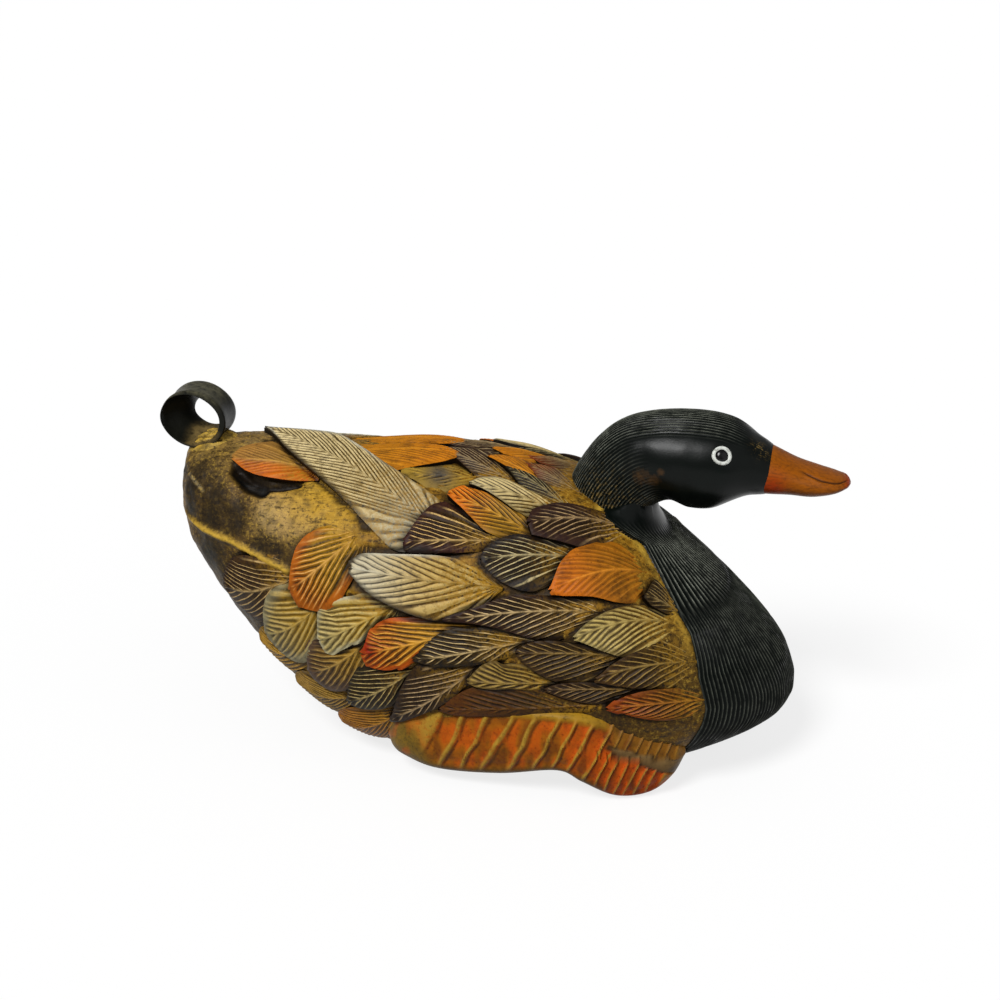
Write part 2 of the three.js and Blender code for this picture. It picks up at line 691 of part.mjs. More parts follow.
// The eyes face out from the side of the head.
function eyeSeat() {
  const line = smoothSections(headSections);
  const angle = eyeAngle * degree;
  const step = 0.01;
  const at = (number, turn) => headPoint(...line.evaluate(number), turn);
  const point = at(eyeSection, angle);
  const along = at(eyeSection + step, angle).sub(point);
  const round = at(eyeSection, angle + step).sub(point);
  return { point, out: along.cross(round).normalize() };
}

// A turned ring or plug about +Z: outside and inside radius, with its back at a depth and its face proud.
function turnedRing(outside, inside, depth, proud) {
  const bevel = Math.min(proud, (outside - inside) / 3);
  const profile = [
    new THREE.Vector2(inside, -depth),
    new THREE.Vector2(outside, -depth),
    new THREE.Vector2(outside, proud - bevel),
    new THREE.Vector2(outside - bevel, proud),
    new THREE.Vector2(inside + bevel, proud),
    new THREE.Vector2(inside, proud - bevel),
    new THREE.Vector2(inside, -depth),
  ];
  return new THREE.LatheGeometry(profile, dowelFacets).rotateX(90 * degree);
}

function turnedPlug(radius, depth, proud) {
  const shoulder = 0.75;
  const profile = [
    new THREE.Vector2(0, -depth),
    new THREE.Vector2(radius, -depth),
    new THREE.Vector2(radius, 0),
    new THREE.Vector2(radius * shoulder, proud * shoulder),
    new THREE.Vector2(0, proud),
  ];
  return new THREE.LatheGeometry(profile, dowelFacets).rotateX(90 * degree);
}

const eye = eyeSeat();
const ringRadius = eyeRingDiameter / 2;
const pupilRadius = eyePupilDiameter / 2;
const eyeCutter = (radius, depth) => {
  const cutter = turnedPlug(radius + glueGap, depth + glueGap, eyeCutterProud);
  return stoodAt(cutter, eye.point, eye.out);
};
const ringSeat = eyeCutter(ringRadius, eyeSeatDepth);
const pupilSeat = eyeCutter(pupilRadius, eyePupilDepth);
const rightRing = stoodAt(
  turnedRing(ringRadius, pupilRadius + glueGap, eyeSeatDepth, eyeRingProud),
  eye.point,
  eye.out,
);
const rightPupil = stoodAt(turnedPlug(pupilRadius, eyePupilDepth, eyePupilProud), eye.point, eye.out);

// The head loses the neck dowel's hole, the bill dowel's hole and the eye seats.
let head = solidOf(headSkin(headSections, headRings, headRingPoints));
for (const hole of [neckDowel.hole, billDowel.hole]) {
  head = head.subtract(hole);
}
for (const seat of [ringSeat, pupilSeat]) {
  head = head.subtract(solidOf(seat));
  head = head.subtract(solidOf(mirrored(seat)));
}
addPiece("head", geometryOf(head), "black");
addPiece("neck_dowel", neckDowel.dowel, "beech");

// The bill stands a glue gap off the face.
const billGap = headFacing(faceSection).multiplyScalar(glueGap);
const billSkin = headSkin(billSections, billRings, billRingPoints).translate(billGap.x, 0, billGap.z);
addPiece("bill", geometryOf(solidOf(billSkin).subtract(billDowel.hole)), "orange");
addPiece("bill_dowel", billDowel.dowel, "beech");

// The curl is cut to the tail before its tenon is joined on.
const curl = curlBand().subtract(proudBody).add(curlTenon(0));
addPiece("tail_curl", geometryOf(curl), "curl");

// Pairs, right side first
for (const { name, toSide } of sides) {
  addPiece(`eye_ring_${name}`, toSide(rightRing), "white");
  addPiece(`eye_pupil_${name}`, toSide(rightPupil), "pupil");
  addPiece(`leg_${name}`, toSide(rightLeg), "orange");
  for (const [place, peg] of Object.entries(legPegs)) {
    addPiece(`leg_peg_${place}_${name}`, toSide(peg.dowel), "beech");
  }
  for (const [feather, shape] of Object.entries(insertedFeathers)) {
    const plate = plateGeometry(onSide(shape, name));
    addPiece(`${feather}_${name}`, toSide(plate), feather.startsWith("tail") ? "orange" : "silver");
  }
}

// The origin is under the middle of the bird, on the ground.
const outline = new THREE.Box3().setFromObject(duck);
duck.position.x = -(outline.min.x + outline.max.x) / 2;

export default duck;
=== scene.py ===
import math

import bpy
import numpy as np
from mathutils import Matrix, Vector, kdtree, noise


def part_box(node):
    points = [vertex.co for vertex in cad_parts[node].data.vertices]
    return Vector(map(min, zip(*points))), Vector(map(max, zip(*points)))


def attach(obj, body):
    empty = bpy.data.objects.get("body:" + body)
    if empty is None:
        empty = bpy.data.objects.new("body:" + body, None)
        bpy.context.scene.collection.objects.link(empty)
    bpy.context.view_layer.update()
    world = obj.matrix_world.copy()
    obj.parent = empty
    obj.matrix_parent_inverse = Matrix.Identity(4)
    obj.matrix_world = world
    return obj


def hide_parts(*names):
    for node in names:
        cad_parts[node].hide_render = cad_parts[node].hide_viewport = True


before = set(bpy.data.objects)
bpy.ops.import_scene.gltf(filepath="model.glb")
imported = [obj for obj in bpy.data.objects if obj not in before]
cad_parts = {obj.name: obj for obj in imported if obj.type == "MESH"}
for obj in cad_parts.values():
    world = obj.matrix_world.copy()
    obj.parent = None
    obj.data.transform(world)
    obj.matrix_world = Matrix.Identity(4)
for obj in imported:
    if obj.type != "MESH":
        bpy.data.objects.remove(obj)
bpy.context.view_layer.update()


# The body. Two hollowed blocks of soft wood are glued at the waist and carved as one sitting drake.
# Its bare ground shows on the tail deck and between the feathers: dabbed tan, gold and umber paint, with
# painted shade dabbed along the deck's lower edge.
mm = 0.001
tail_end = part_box("body_upper")[0].x / mm
body_length = 274
body_height = 134
body_width = 138
body_sections = np.array([
    # along, top, widest level, bottom, half width, fullness above and below
    [0.0, 0.888, 0.836, 0.791, 0.02, 2.0, 2.0],
    [0.009, 0.955, 0.806, 0.679, 0.23, 2.0, 2.0],
    [0.042, 0.985, 0.761, 0.545, 0.41, 2.0, 1.9],
    [0.111, 1.0, 0.694, 0.351, 0.58, 2.0, 1.9],
    [0.203, 0.996, 0.612, 0.155, 0.74, 2.0, 2.0],
    [0.312, 0.993, 0.53, 0.005, 0.87, 2.1, 2.1],
    [0.44, 0.993, 0.463, -0.037, 0.97, 2.1, 2.2],
    [0.586, 0.955, 0.41, -0.037, 1.0, 2.2, 2.2],
    [0.714, 0.866, 0.366, -0.03, 0.985, 2.2, 2.2],
    [0.83, 0.678, 0.321, 0.04, 0.885, 2.2, 2.1],
    [0.918, 0.52, 0.284, 0.11, 0.667, 2.1, 2.0],
    [0.973, 0.403, 0.265, 0.165, 0.39, 2.0, 2.0],
    [0.996, 0.306, 0.261, 0.216, 0.13, 2.0, 2.0],
    [1.0, 0.265, 0.261, 0.257, 0.01, 2.0, 2.0],
])


def smooth_rows(rows, numbers):
    """Rows of values as a smooth curve, read at fractional row numbers."""
    rows = np.asarray(rows, float)
    wide = np.vstack([2 * rows[0] - rows[1], rows, 2 * rows[-1] - rows[-2]])
    first = np.clip(np.floor(numbers).astype(int), 0, len(rows) - 2)
    part = (np.asarray(numbers) - first)[..., None]
    before, here, after, beyond = wide[first], wide[first + 1], wide[first + 2], wide[first + 3]
    cubic = 3 * (here - after) + beyond - before
    square = 2 * before - 5 * here + 4 * after - beyond
    return here + 0.5 * part * (after - before + part * (square + part * cubic))


body_table = smooth_rows(body_sections, np.linspace(0, len(body_sections) - 1, 3000))


def body_section(x):
    """Top, widest level, bottom, half width and both fullnesses at a distance from the tail end."""
    share = np.asarray(x, float) / body_length
    columns = [np.interp(share, body_table[:, 0], body_table[:, column]) for column in range(1, 7)]
    top, level, bottom, half, above, below = columns
    return top * body_height, level * body_height, bottom * body_height, half * body_width / 2, above, below


def signed_power(value, power):
    """A power that keeps the sign of its value."""
    return np.sign(value) * np.abs(value) ** power


def body_point(x, angle):
    """The surface by distance from the tail end and angle: 0 on the right flank, a quarter turn on top."""
    top, level, bottom, half, above, below = body_section(x)
    upper = np.sin(angle) >= 0
    power = 2 / np.where(upper, above, below)
    y = -half * signed_power(np.cos(angle), power)
    z = level + np.where(upper, top - level, level - bottom) * signed_power(np.sin(angle), power)
    return np.stack(np.broadcast_arrays(tail_end + x, y, np.maximum(z, 0)), -1)


def unit(vectors):
    """Vectors brought to a length of 1."""
    return vectors / np.linalg.norm(vectors, axis=-1, keepdims=True)


def body_slopes(x, angle):
    """How the surface runs along the body and round it, and which way it faces."""
    step = 0.25
    turn = 0.004
    along = (body_point(x + step, angle) - body_point(x - step, angle)) / (2 * step)
    around = (body_point(x, angle + turn) - body_point(x, angle - turn)) / (2 * turn)
    out = np.cross(along, around)
    return along, around, unit(out)


def tube_grid(first, last, rows, columns):
    """A value for each ring of a tube and an angle for each of its points, row by row."""
    sweep = np.linspace(0, 2 * math.pi, columns, endpoint=False)
    return np.repeat(np.linspace(first, last, rows), columns), np.tile(sweep, rows)


def grid_faces(rows, columns, closed):
    """Quads over a grid of points, closed into a tube with capped ends if asked."""
    faces = []
    for row in range(rows - 1):
        for column in range(columns if closed else columns - 1):
            here = row * columns + column
            beside = row * columns + (column + 1) % columns
            faces.append((here, here + columns, beside + columns, beside))
    if closed:
        faces.append(tuple(range(columns)))
        faces.append(tuple(reversed(range((rows - 1) * columns, rows * columns))))
    return faces


def new_piece(name, points, faces, **marks):
    """A smooth mesh from points in millimetres, with named values or colours on its points."""
    mesh = bpy.data.meshes.new(name)
    mesh.from_pydata((np.asarray(points).reshape(-1, 3) * mm).tolist(), [], faces)
    for mark, values in marks.items():
        values = np.asarray(values, float)
        if values.ndim == 2:
            colours = np.ones((len(values), 4))
            colours[:, :3] = values[:, :3]
            mesh.attributes.new(mark, "FLOAT_COLOR", "POINT").data.foreach_set("color", colours.ravel())
        else:
            mesh.attributes.new(mark, "FLOAT", "POINT").data.foreach_set("value", values)
    mesh.shade_smooth()
    piece = bpy.data.objects.new(name, mesh)
    bpy.context.scene.collection.objects.link(piece)
    return piece


def linear(code):
    """A written sRGB colour as linear red, green, blue and alpha."""
    parts = [int(code[i:i + 2], 16) / 255 for i in (1, 3, 5)]
    return tuple(p / 12.92 if p <= 0.04045 else ((p + 0.055) / 1.055) ** 2.4 for p in parts) + (1.0,)


def add_node(tree, kind, inputs=(), out=0, **settings):
    """Adds a node with its settings and gives one of its outputs. A short kind is a shader node.
    Inputs are given in their order or by name, and each takes a value or the output of another node."""
    node = tree.nodes.new(kind if "Node" in kind else f"ShaderNode{kind}")
    for name, value in settings.items():
        setattr(node, name, value)
    for name, value in inputs.items() if isinstance(inputs, dict) else enumerate(inputs):
        if isinstance(value, bpy.types.NodeSocket):
            tree.links.new(value, node.inputs[name])
        else:
            node.inputs[name].default_value = value
    return node.outputs[out] if node.outputs else None


# A Mix node set for colours: input 0 is the part, 6 and 7 are the two colours, and output 2 is the mixed one.
of_colours = {"data_type": "RGBA", "out": 2}


def new_paint(name, roughness, specular=0.5):
    """A material with a plain finish, its node tree and its shader."""
    material = bpy.data.materials.new(name)
    material.use_nodes = True
    shader = material.node_tree.nodes["Principled BSDF"]
    shader.inputs["Roughness"].default_value = roughness
    shader.inputs["IOR"].default_value = 1.48
    shader.inputs["Specular IOR Level"].default_value = specular
    return material, material.node_tree, shader


def fade(value, start, end):
    """0 before start, 1 after end, smooth between."""
    part = np.clip((value - start) / (end - start), 0, 1)
    return part * part * (3 - 2 * part)


def bell(value, width):
    """1 at 0, falling away on both sides."""
    return np.exp(-(value / width) ** 2)


def mottle(points, size):
    """Smooth random values between -1 and 1 on points, in marks of about a size."""
    return np.array([noise.noise(Vector(p) / size) for p in points])


def even(code, count):
    """One colour on every point."""
    return np.tile(np.array(linear(code))[:3], (count, 1))


def mixed(first, second, part):
    """Two sets of colours mixed by a part on each point."""
    return first * (1 - part[:, None]) + second * part[:, None]


def coat(paint, code, part):
    """Colours on points with one more colour laid over them, by a part on each point."""
    return mixed(paint, even(code, len(paint)), part)


def on_body(x, degrees):
    """One place on the body, by its distance from the tail end and its angle."""
    return body_point(np.array(float(x)), math.radians(degrees))


def to_right(points):
    """Points of both sides, folded over to the right side."""
    return np.column_stack([points[:, 0], -np.abs(points[:, 1]), points[:, 2]])


def away_from_path(points, path):
    """The distance of points from a line through several places."""
    nearest = np.full(len(points), np.inf)
    for start, end in zip(path[:-1], path[1:]):
        run = end - start
        part = np.clip((points - start) @ run / (run @ run), 0, 1)
        nearest = np.minimum(nearest, np.linalg.norm(points - start - part[:, None] * run, axis=1))
    return nearest


def near_spots(points, *spots):
    """How close points are to the nearest of some spots of (place, reach)."""
    return np.max([bell(np.linalg.norm(points - place, axis=1), reach) for place, reach in spots], axis=0)


body_rows = 320
body_columns = 270
body_number, body_angle = tube_grid(0, len(body_sections) - 1, body_rows, body_columns)
body_x = smooth_rows(body_sections, body_number)[:, 0] * body_length
body_points = body_point(body_x, body_angle)
body_out = body_slopes(body_x, body_angle)[2]
body_folded = to_right(body_points)

# The deck ends in a raised edge over the hollow of the tail, and a black notch is cut under the tail feather.
side_angle = np.degrees(np.arcsin(np.sin(body_angle)))
edge_angle = np.interp(body_x, [0, 8, 11.5, 31, 47, 62, 72], [-12, -5, -1, 7.8, 10.5, 11.5, 11])
above_edge = np.radians(side_angle - edge_angle) * body_section(body_x)[3]
on_deck = fade(body_x, 2, 14) * (1 - fade(body_x, 60, 72))
deck_edge_height = 1.5
tail_hollow_depth = 0.8
edge_rise = deck_edge_height * bell(above_edge - 0.4, 1.5)
edge_rise = edge_rise - tail_hollow_depth * fade(-above_edge, 0.4, 2.6) * (1 - fade(-above_edge, 6, 14))
notch = [on_body(31, 53), on_body(37, 46.5), on_body(43.5, 46)]
notch_end = [on_body(43.5, 46), on_body(50, 49.5), on_body(60, 54)]
notch_half = 5.0
notch_depth = 3.2
end_narrower = 2.2
notch_away = np.minimum(away_from_path(body_folded, notch),
                        away_from_path(body_folded, notch_end) + end_narrower)
notch_cut = -notch_depth * (1 - fade(notch_away, 1.5, notch_half))
scoop_depth = 1.8
scoop = -scoop_depth * near_spots(body_folded, (on_body(33, 26), 12))
scratch_away = away_from_path(body_folded, [on_body(7, 38), on_body(11, 34), on_body(15.5, 30)])
gouge_depth = 0.55
gouges = gouge_depth * (mottle(body_points, 8) + 0.6 * mottle(body_points, 3.2))

# The black breast is let down a little, so that the combed surface lies level with the rest.
breast_heart = np.array([tail_end + 196, 0, 55.0])
border_heights = [-45, -21, -10, 1, 17, 27, 44, 60, 64, 67, 75]
border_turns = [57, 54.5, 52, 54, 53, 56, 58.5, 63, 84, 100, 108]
from_heart = body_points - breast_heart
heart_height = np.degrees(np.arctan2(from_heart[:, 2], np.hypot(from_heart[:, 0], from_heart[:, 1])))
heart_turn = np.degrees(np.abs(np.arctan2(from_heart[:, 1], from_heart[:, 0])))
inside_border = np.interp(heart_height, border_heights, border_turns) - heart_turn
breast_drop = 1.2
over_base = heart_height > -60
let_down = -breast_drop * fade(inside_border, 0.5, 2.5) * over_base
relief = on_deck * edge_rise + notch_cut + scoop + gouges * (1 - fade(inside_border, -6, 0)) + let_down
body_shape = body_points + body_out * relief[:, None]
body_shape[:, 2] = np.maximum(body_shape[:, 2], 0)

ground_dabs = [
    # place, reach, paint, strength
    (on_body(34, 77), 22, "#8a7040", 0.9),
    (on_body(12, 58), 13, "#5c4a2c", 0.9),
    (on_body(21, 47), 8, "#6e5628", 0.85),
    (on_body(50, 34), 11, "#a8905f", 0.92),
    (on_body(60, 34), 13, "#b09058", 0.95),
    (on_body(68, 50), 15, "#b98f2c", 0.95),
    (on_body(78, 42), 13, "#b48a28", 0.95),
    (on_body(65, 28), 8, "#8a7040", 0.8),
    (on_body(12.5, 45), 8, "#251c0e", 0.9),
    (on_body(22, 31), 9, "#1a130a", 0.94),
    (on_body(33, 30), 7, "#241b0e", 0.9),
    # The next five dabs darken the deck just above its raised lower edge: painted shade.
    (on_body(20, 15), 9, "#2a1f0b", 0.92),
    (on_body(33, 19), 9, "#1f160a", 0.94),
    (on_body(46, 16), 8, "#150f07", 0.95),
    (on_body(55, 17.5), 8, "#110c06", 0.97),
    (on_body(61, 16.5), 6, "#0e0a06", 0.97),
    (on_body(8, 24), 7, "#0d0e0a", 0.97),
    (on_body(9, 8), 7, "#0d0e0a", 0.97),
    (on_body(3, 38), 5, "#0d0e0a", 0.97),
    (on_body(18, -17), 20, "#141710", 0.98),
    (on_body(38, -26), 17, "#1b1c0e", 0.95),
    (on_body(30, -70), 34, "#10110b", 0.95),
    (on_body(10, 82), 9, "#a38442", 0.85),
    (on_body(82, 16), 16, "#a2750f", 0.9),
    (on_body(70, 9), 10, "#a87c1c", 0.8),
    (on_body(64, -26), 16, "#946c18", 0.9),
    (on_body(94, -42), 14, "#8a5a20", 0.8),
    (on_body(170, -20), 40, "#4a3210", 0.8),
    (on_body(215, 30), 22, "#7a5a18", 0.8),
    (on_body(228, 2), 22, "#2c1e0a", 0.85),
    (on_body(200, -8), 18, "#241808", 0.85),
    (on_body(241, 26), 12, "#4e3c14", 0.7),
]
ground = even("#8a6216", len(body_points))
for place, reach, colour, strength in ground_dabs:
    ground = coat(ground, colour, strength * near_spots(body_folded, (place, reach)))
by_nape = fade(heart_height, 46, 59)
above_belly = fade(heart_height, 4, 20)
notch_dark = 1 - fade(notch_away, 3.2, notch_half)
in_breast = fade(inside_border, 0, 1.5)
ground = coat(ground, "#b0892c", 0.9 * on_deck * bell(above_edge - 0.5, 1.3))
ground = coat(ground, "#a8966f", 0.5 * (1 - fade(scratch_away, 0.3, 1.2)))
ground = coat(ground, "#c09a3a", (0.25 + 0.7 * by_nape) * bell(inside_border + 2.0, 2.8) * above_belly)
ground = coat(ground, "#060605", notch_dark)
ground = coat(ground, "#0d110e", in_breast * over_base)
border_width = 1.2 + 2.8 * by_nape
border_gilt = bell(inside_border + border_width, border_width) * above_belly * (0.35 + 0.65 * by_nape)
ground_gilt = np.maximum(0.8 * on_deck * bell(above_edge - 0.5, 1.0), border_gilt)
darkness = 1 - fade(ground.mean(axis=1), 0.012, 0.06)
ground_dull = np.maximum(np.maximum(notch_dark, in_breast), 0.85 * darkness)
carved_body = new_piece("carved_body", body_shape, grid_faces(body_rows, body_columns, True),
                        paint=ground, dull=ground_dull, gilt=ground_gilt)

# Artists' oil paint stippled over sealed soft wood: satin, mottled in patches of a few millimetres,
# with gold on the high spots.
patch_size = 6
grain_width = 1.6
dab_size = 1.5
ground_paint, tree, shader = new_paint("stippled oil paint on soft wood", roughness=0.5, specular=0.14)
place = add_node(tree, "TexCoord", out="Object")
laid = add_node(tree, "Attribute", attribute_name="paint")
dull = add_node(tree, "Attribute", attribute_name="dull", out="Fac")
lively = add_node(tree, "Math", (1.0, dull), operation="SUBTRACT")
patches = add_node(tree, "TexNoise", {
    "Vector": place, "Scale": 1 / (patch_size * mm), "Detail": 6, "Roughness": 0.7})
patch_dark = add_node(tree, "MapRange", (patches, 0.5, 0.62, 0.0, 0.7))
shaded = add_node(tree, "Mix", {0: patch_dark, 6: laid, 7: linear("#1f1609")}, **of_colours)
with_grain = add_node(tree, "Mapping", {"Vector": place, "Rotation": (0, 0.25, 0), "Scale": (0.2, 1.0, 1.0)})
grain = add_node(tree, "TexNoise", {
    "Vector": with_grain, "Scale": 1 / (grain_width * mm), "Detail": 5, "Roughness": 0.7})
streak = add_node(tree, "MapRange", (grain, 0.51, 0.6, 0.0, 0.7))
streaked = add_node(tree, "Mix", {0: streak, 6: shaded, 7: linear("#1a1107")}, **of_colours)
stipple = add_node(tree, "TexNoise", {
    "Vector": place, "Scale": 1 / (dab_size * mm), "Detail": 4, "Roughness": 0.72})
dab_light = add_node(tree, "MapRange", (stipple, 0.52, 0.66, 0.0, 0.75))
dab_here = add_node(tree, "Math", (dab_light, lively), operation="MULTIPLY")
brighter = add_node(tree, "Mix", {0: 0.45, 6: laid, 7: linear("#e0b648")}, **of_colours)
stippled = add_node(tree, "Mix", {0: dab_here, 6: streaked, 7: brighter}, **of_colours)
dab_dark = add_node(tree, "MapRange", (stipple, 0.36, 0.46, 0.7, 0.0))
speckled = add_node(tree, "Mix", {0: dab_dark, 6: stippled, 7: linear("#120d06")}, **of_colours)
gilt = add_node(tree, "Attribute", attribute_name="gilt", out="Fac")
flake = add_node(tree, "MapRange", (stipple, 0.34, 0.5, 0.3, 1.0))
flake_here = add_node(tree, "Math", (flake, gilt), operation="MULTIPLY")
gold = add_node(tree, "Mix", {0: patches, 6: linear("#e6be4e"), 7: linear("#a07a20")}, **of_colours)
gilded = add_node(tree, "Mix", {0: flake_here, 6: speckled, 7: gold}, **of_colours)
crust = add_node(tree, "Bump", {"Height": stipple, "Strength": 0.5, "Distance": 0.4 * mm})
tree.links.new(gilded, shader.inputs["Base Color"])
tree.links.new(crust, shader.inputs["Normal"])
carved_body.data.materials.append(ground_paint)
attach(carved_body, "root")
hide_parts("body_upper", "body_lower")


# The breast. The front of the same block, combed from the neck down with a toothed scraper while the
# black-green paint was wet, so that fine ridges run out from the neck like the spokes of a fan.
breast_lines = 60
points_per_line = 5
breast_columns = breast_lines * points_per_line + 1
breast_rows = 120
breast_high = 74
breast_low = -43
neck_half_length = 20.6
neck_half_width = 22
neck_fillet = 9.0
neck_back = 5
off_table = 0.3


def inside_body(points):
    """Below 0 inside the carved surface and above 0 outside it."""
    x = points[..., 0] - tail_end
    top, level, bottom, half, above, below = body_section(np.clip(x, 0, body_length))
    rise = points[..., 2] - level
    full = np.where(rise >= 0, above, below)
    reach = np.where(rise >= 0, top - level, level - bottom)
    value = (np.abs(points[..., 1]) / half) ** full + (np.abs(rise) / reach) ** full - 1
    return np.where((x < 0) | (x > body_length), 1.0, value)


def surface_along(start, directions):
    """Where rays from a point inside the body leave it, and which way the surface faces there."""
    beyond_body = 160.0
    halvings = 40
    near = np.zeros(directions.shape[:-1])
    far = np.full(directions.shape[:-1], beyond_body)
    for _ in range(halvings):
        middle = (near + far) / 2
        outside = inside_body(start + directions * middle[..., None]) > 0
        far = np.where(outside, middle, far)
        near = np.where(outside, near, middle)
    points = start + directions * near[..., None]
    step = 0.2
    slope = [inside_body(points + step * axis) - inside_body(points - step * axis) for axis in np.eye(3)]
    return points, unit(np.stack(slope, -1))


height_angle = np.radians(np.linspace(breast_high, breast_low, breast_rows))[:, None]
across = np.linspace(1, -1, breast_columns)[None]
breast_turn = np.radians(np.interp(np.degrees(height_angle), border_heights, border_turns)) * across
lift_angle = np.broadcast_to(height_angle, breast_turn.shape)
spokes = np.stack([np.cos(breast_turn) * np.cos(lift_angle), -np.sin(breast_turn) * np.cos(lift_angle),
                   np.sin(lift_angle)], -1)
breast_points, breast_out = surface_along(breast_heart, spokes)
from_neck = np.hypot((breast_points[..., 0] - breast_heart[0] + neck_back) / neck_half_length,
                     breast_points[..., 1] / neck_half_width)
to_fillet = np.clip(neck_fillet - (from_neck - 1) * neck_half_length, 0, neck_fillet)
neck_cove = neck_fillet - np.sqrt(neck_fillet ** 2 - to_fillet ** 2)
edge_fade = np.broadcast_to(fade(1 - np.abs(across), 0.0, 0.03), breast_turn.shape)
foot_fade = np.clip(np.arange(breast_rows)[::-1] / 3, 0, 1)[:, None]
edge_sink = 0.9
breast_rise = edge_sink * (2 * edge_fade * foot_fade - 1)
breast_points = breast_points + breast_out * breast_rise[..., None]
breast_points[..., 2] = breast_points[..., 2] + neck_cove * fade(1 - np.abs(across), 0.0, 0.4)
breast_points[..., 2] = np.maximum(breast_points[..., 2], off_table)
breast_wobble = 0.3 * mottle(breast_points.reshape(-1, 3), 14)
breast_line = np.tile(np.arange(breast_columns) / points_per_line, breast_rows) + breast_wobble
breast_reach = edge_fade * fade(from_neck, 1.1, 1.5)
breast_fork = fade(np.degrees(lift_angle), 16, 30)
by_border = fade(np.degrees(np.abs(breast_turn)), 38, 62)
# The ridges are rubbed paler towards the top of the breast: partly dry-brush wear, partly a painted sheen.
breast_rub_and_sheen = 0.35 + 0.5 * fade(np.degrees(lift_angle), 10, 42) * (1 - 0.6 * by_border)

# One tree carves every combed or ribbed surface: it lowers the grooves between numbered lines
# and marks how high each point stands, so that the paint can follow the ridges. A ridge may fork into two.
carve = bpy.data.node_groups.new("carve lines", "GeometryNodeTree")
carve.interface.new_socket("Geometry", in_out="INPUT", socket_type="NodeSocketGeometry")
carve_depth = carve.interface.new_socket("Groove depth", in_out="INPUT", socket_type="NodeSocketFloat")
carve_share = carve.interface.new_socket("Groove share", in_out="INPUT", socket_type="NodeSocketFloat")
carve_paint = carve.interface.new_socket("Paint", in_out="INPUT", socket_type="NodeSocketMaterial")
carve.interface.new_socket("Geometry", in_out="OUTPUT", socket_type="NodeSocketGeometry")
given = carve.nodes.new("NodeGroupInput").outputs
line_mark, reach_mark, fork_mark = (
    add_node(carve, "GeometryNodeInputNamedAttribute", {"Name": mark}, data_type="FLOAT")
    for mark in ("line", "reach", "fork"))
fine = add_node(carve, "Math", (line_mark, 0.5), operation="PINGPONG")
half_line = add_node(carve, "Math", (line_mark, 0.5), operation="MULTIPLY")
coarse = add_node(carve, "Math", (half_line, 0.5), operation="PINGPONG")
wave = add_node(carve, "Mix", {0: fork_mark, 2: fine, 3: coarse}, data_type="FLOAT")
flat = add_node(carve, "Math", (given["Groove share"], 0.5), operation="MULTIPLY")
height = add_node(carve, "MapRange", (wave, flat, 0.5), interpolation_type="SMOOTHSTEP")
drop = add_node(carve, "Math", (height, 1.0), operation="SUBTRACT")
deep = add_node(carve, "Math", (drop, given["Groove depth"]), operation="MULTIPLY")
held = add_node(carve, "Math", (deep, reach_mark), operation="MULTIPLY")
facing = add_node(carve, "GeometryNodeInputNormal")
push = add_node(carve, "VectorMath", {0: facing, "Scale": held}, operation="SCALE")
pushed = add_node(carve, "GeometryNodeSetPosition", {"Geometry": given["Geometry"], "Offset": push})
marked = add_node(carve, "GeometryNodeStoreNamedAttribute", {
    "Geometry": pushed, "Name": "comb", "Value": height}, data_type="FLOAT", domain="POINT")
whole = add_node(carve, "GeometryNodeRealizeInstances", {"Geometry": marked})
painted = add_node(carve, "GeometryNodeSetMaterial", {"Geometry": whole, "Material": given["Paint"]})
add_node(carve, "NodeGroupOutput", {"Geometry": painted})


def carve_piece(piece, paint, depth, share, sharp=40):
    """Runs the carving on a piece and keeps the result as its plain mesh."""
    modifier = piece.modifiers.new("carve", "NODES")
    modifier.node_group = carve
    modifier[carve_depth.identifier] = depth * mm
    modifier[carve_share.identifier] = share
    modifier[carve_paint.identifier] = paint
    now = bpy.context.evaluated_depsgraph_get()
    carved = piece.evaluated_get(now)
    mesh = bpy.data.meshes.new_from_object(carved, preserve_all_data_layers=True, depsgraph=now)
    piece.modifiers.remove(modifier)
    piece.data = mesh
    mesh.shade_smooth()
    mesh.set_sharp_from_angle(angle=math.radians(sharp))


# Black-green oil paint rubbed grey-green along the ridges, worn brown in places, with gold left in flecks.
rub_size = 4
fleck_size = 1.5
combed_black, tree, shader = new_paint("combed black-green oil paint", roughness=0.32)
place = add_node(tree, "TexCoord", out="Object")
comb, reach, gilt, worn, often = (add_node(tree, "Attribute", attribute_name=mark, out="Fac")
                                  for mark in ("comb", "reach", "gilt", "worn", "rubbed"))
rubbed = add_node(tree, "TexNoise", {
    "Vector": place, "Scale": 1 / (rub_size * mm), "Detail": 5, "Roughness": 0.65})
rub = add_node(tree, "MapRange", (rubbed, 0.36, 0.64, 0.2, 1.0))
crest = add_node(tree, "Math", (comb, 5.0), operation="POWER")
crest_here = add_node(tree, "Math", (crest, reach), operation="MULTIPLY")
rub_here = add_node(tree, "Math", (rub, often), operation="MULTIPLY")
crest_rub = add_node(tree, "Math", (crest_here, rub_here), operation="MULTIPLY")
base = add_node(tree, "Mix", {0: rubbed, 6: linear("#020403"), 7: linear("#080e0b")}, **of_colours)
ridged = add_node(tree, "Mix", {0: crest_rub, 6: base, 7: linear("#a4a798")}, **of_colours)
flecks = add_node(tree, "TexNoise", {
    "Vector": place, "Scale": 1 / (fleck_size * mm), "Detail": 3, "Roughness": 0.7})
worn_edge = add_node(tree, "Math", (worn, flecks), operation="MULTIPLY")
worn_here = add_node(tree, "MapRange", (worn_edge, 0.22, 0.5))
bare = add_node(tree, "Mix", {0: worn_here, 6: ridged, 7: linear("#3a2917")}, **of_colours)
fleck = add_node(tree, "MapRange", (flecks, 0.5, 0.6))
fleck_here = add_node(tree, "Math", (fleck, gilt), operation="MULTIPLY")
gilded = add_node(tree, "Math", (fleck_here, comb), operation="MULTIPLY")
gold_left = add_node(tree, "Mix", {0: gilded, 6: bare, 7: linear("#8f7640")}, **of_colours)
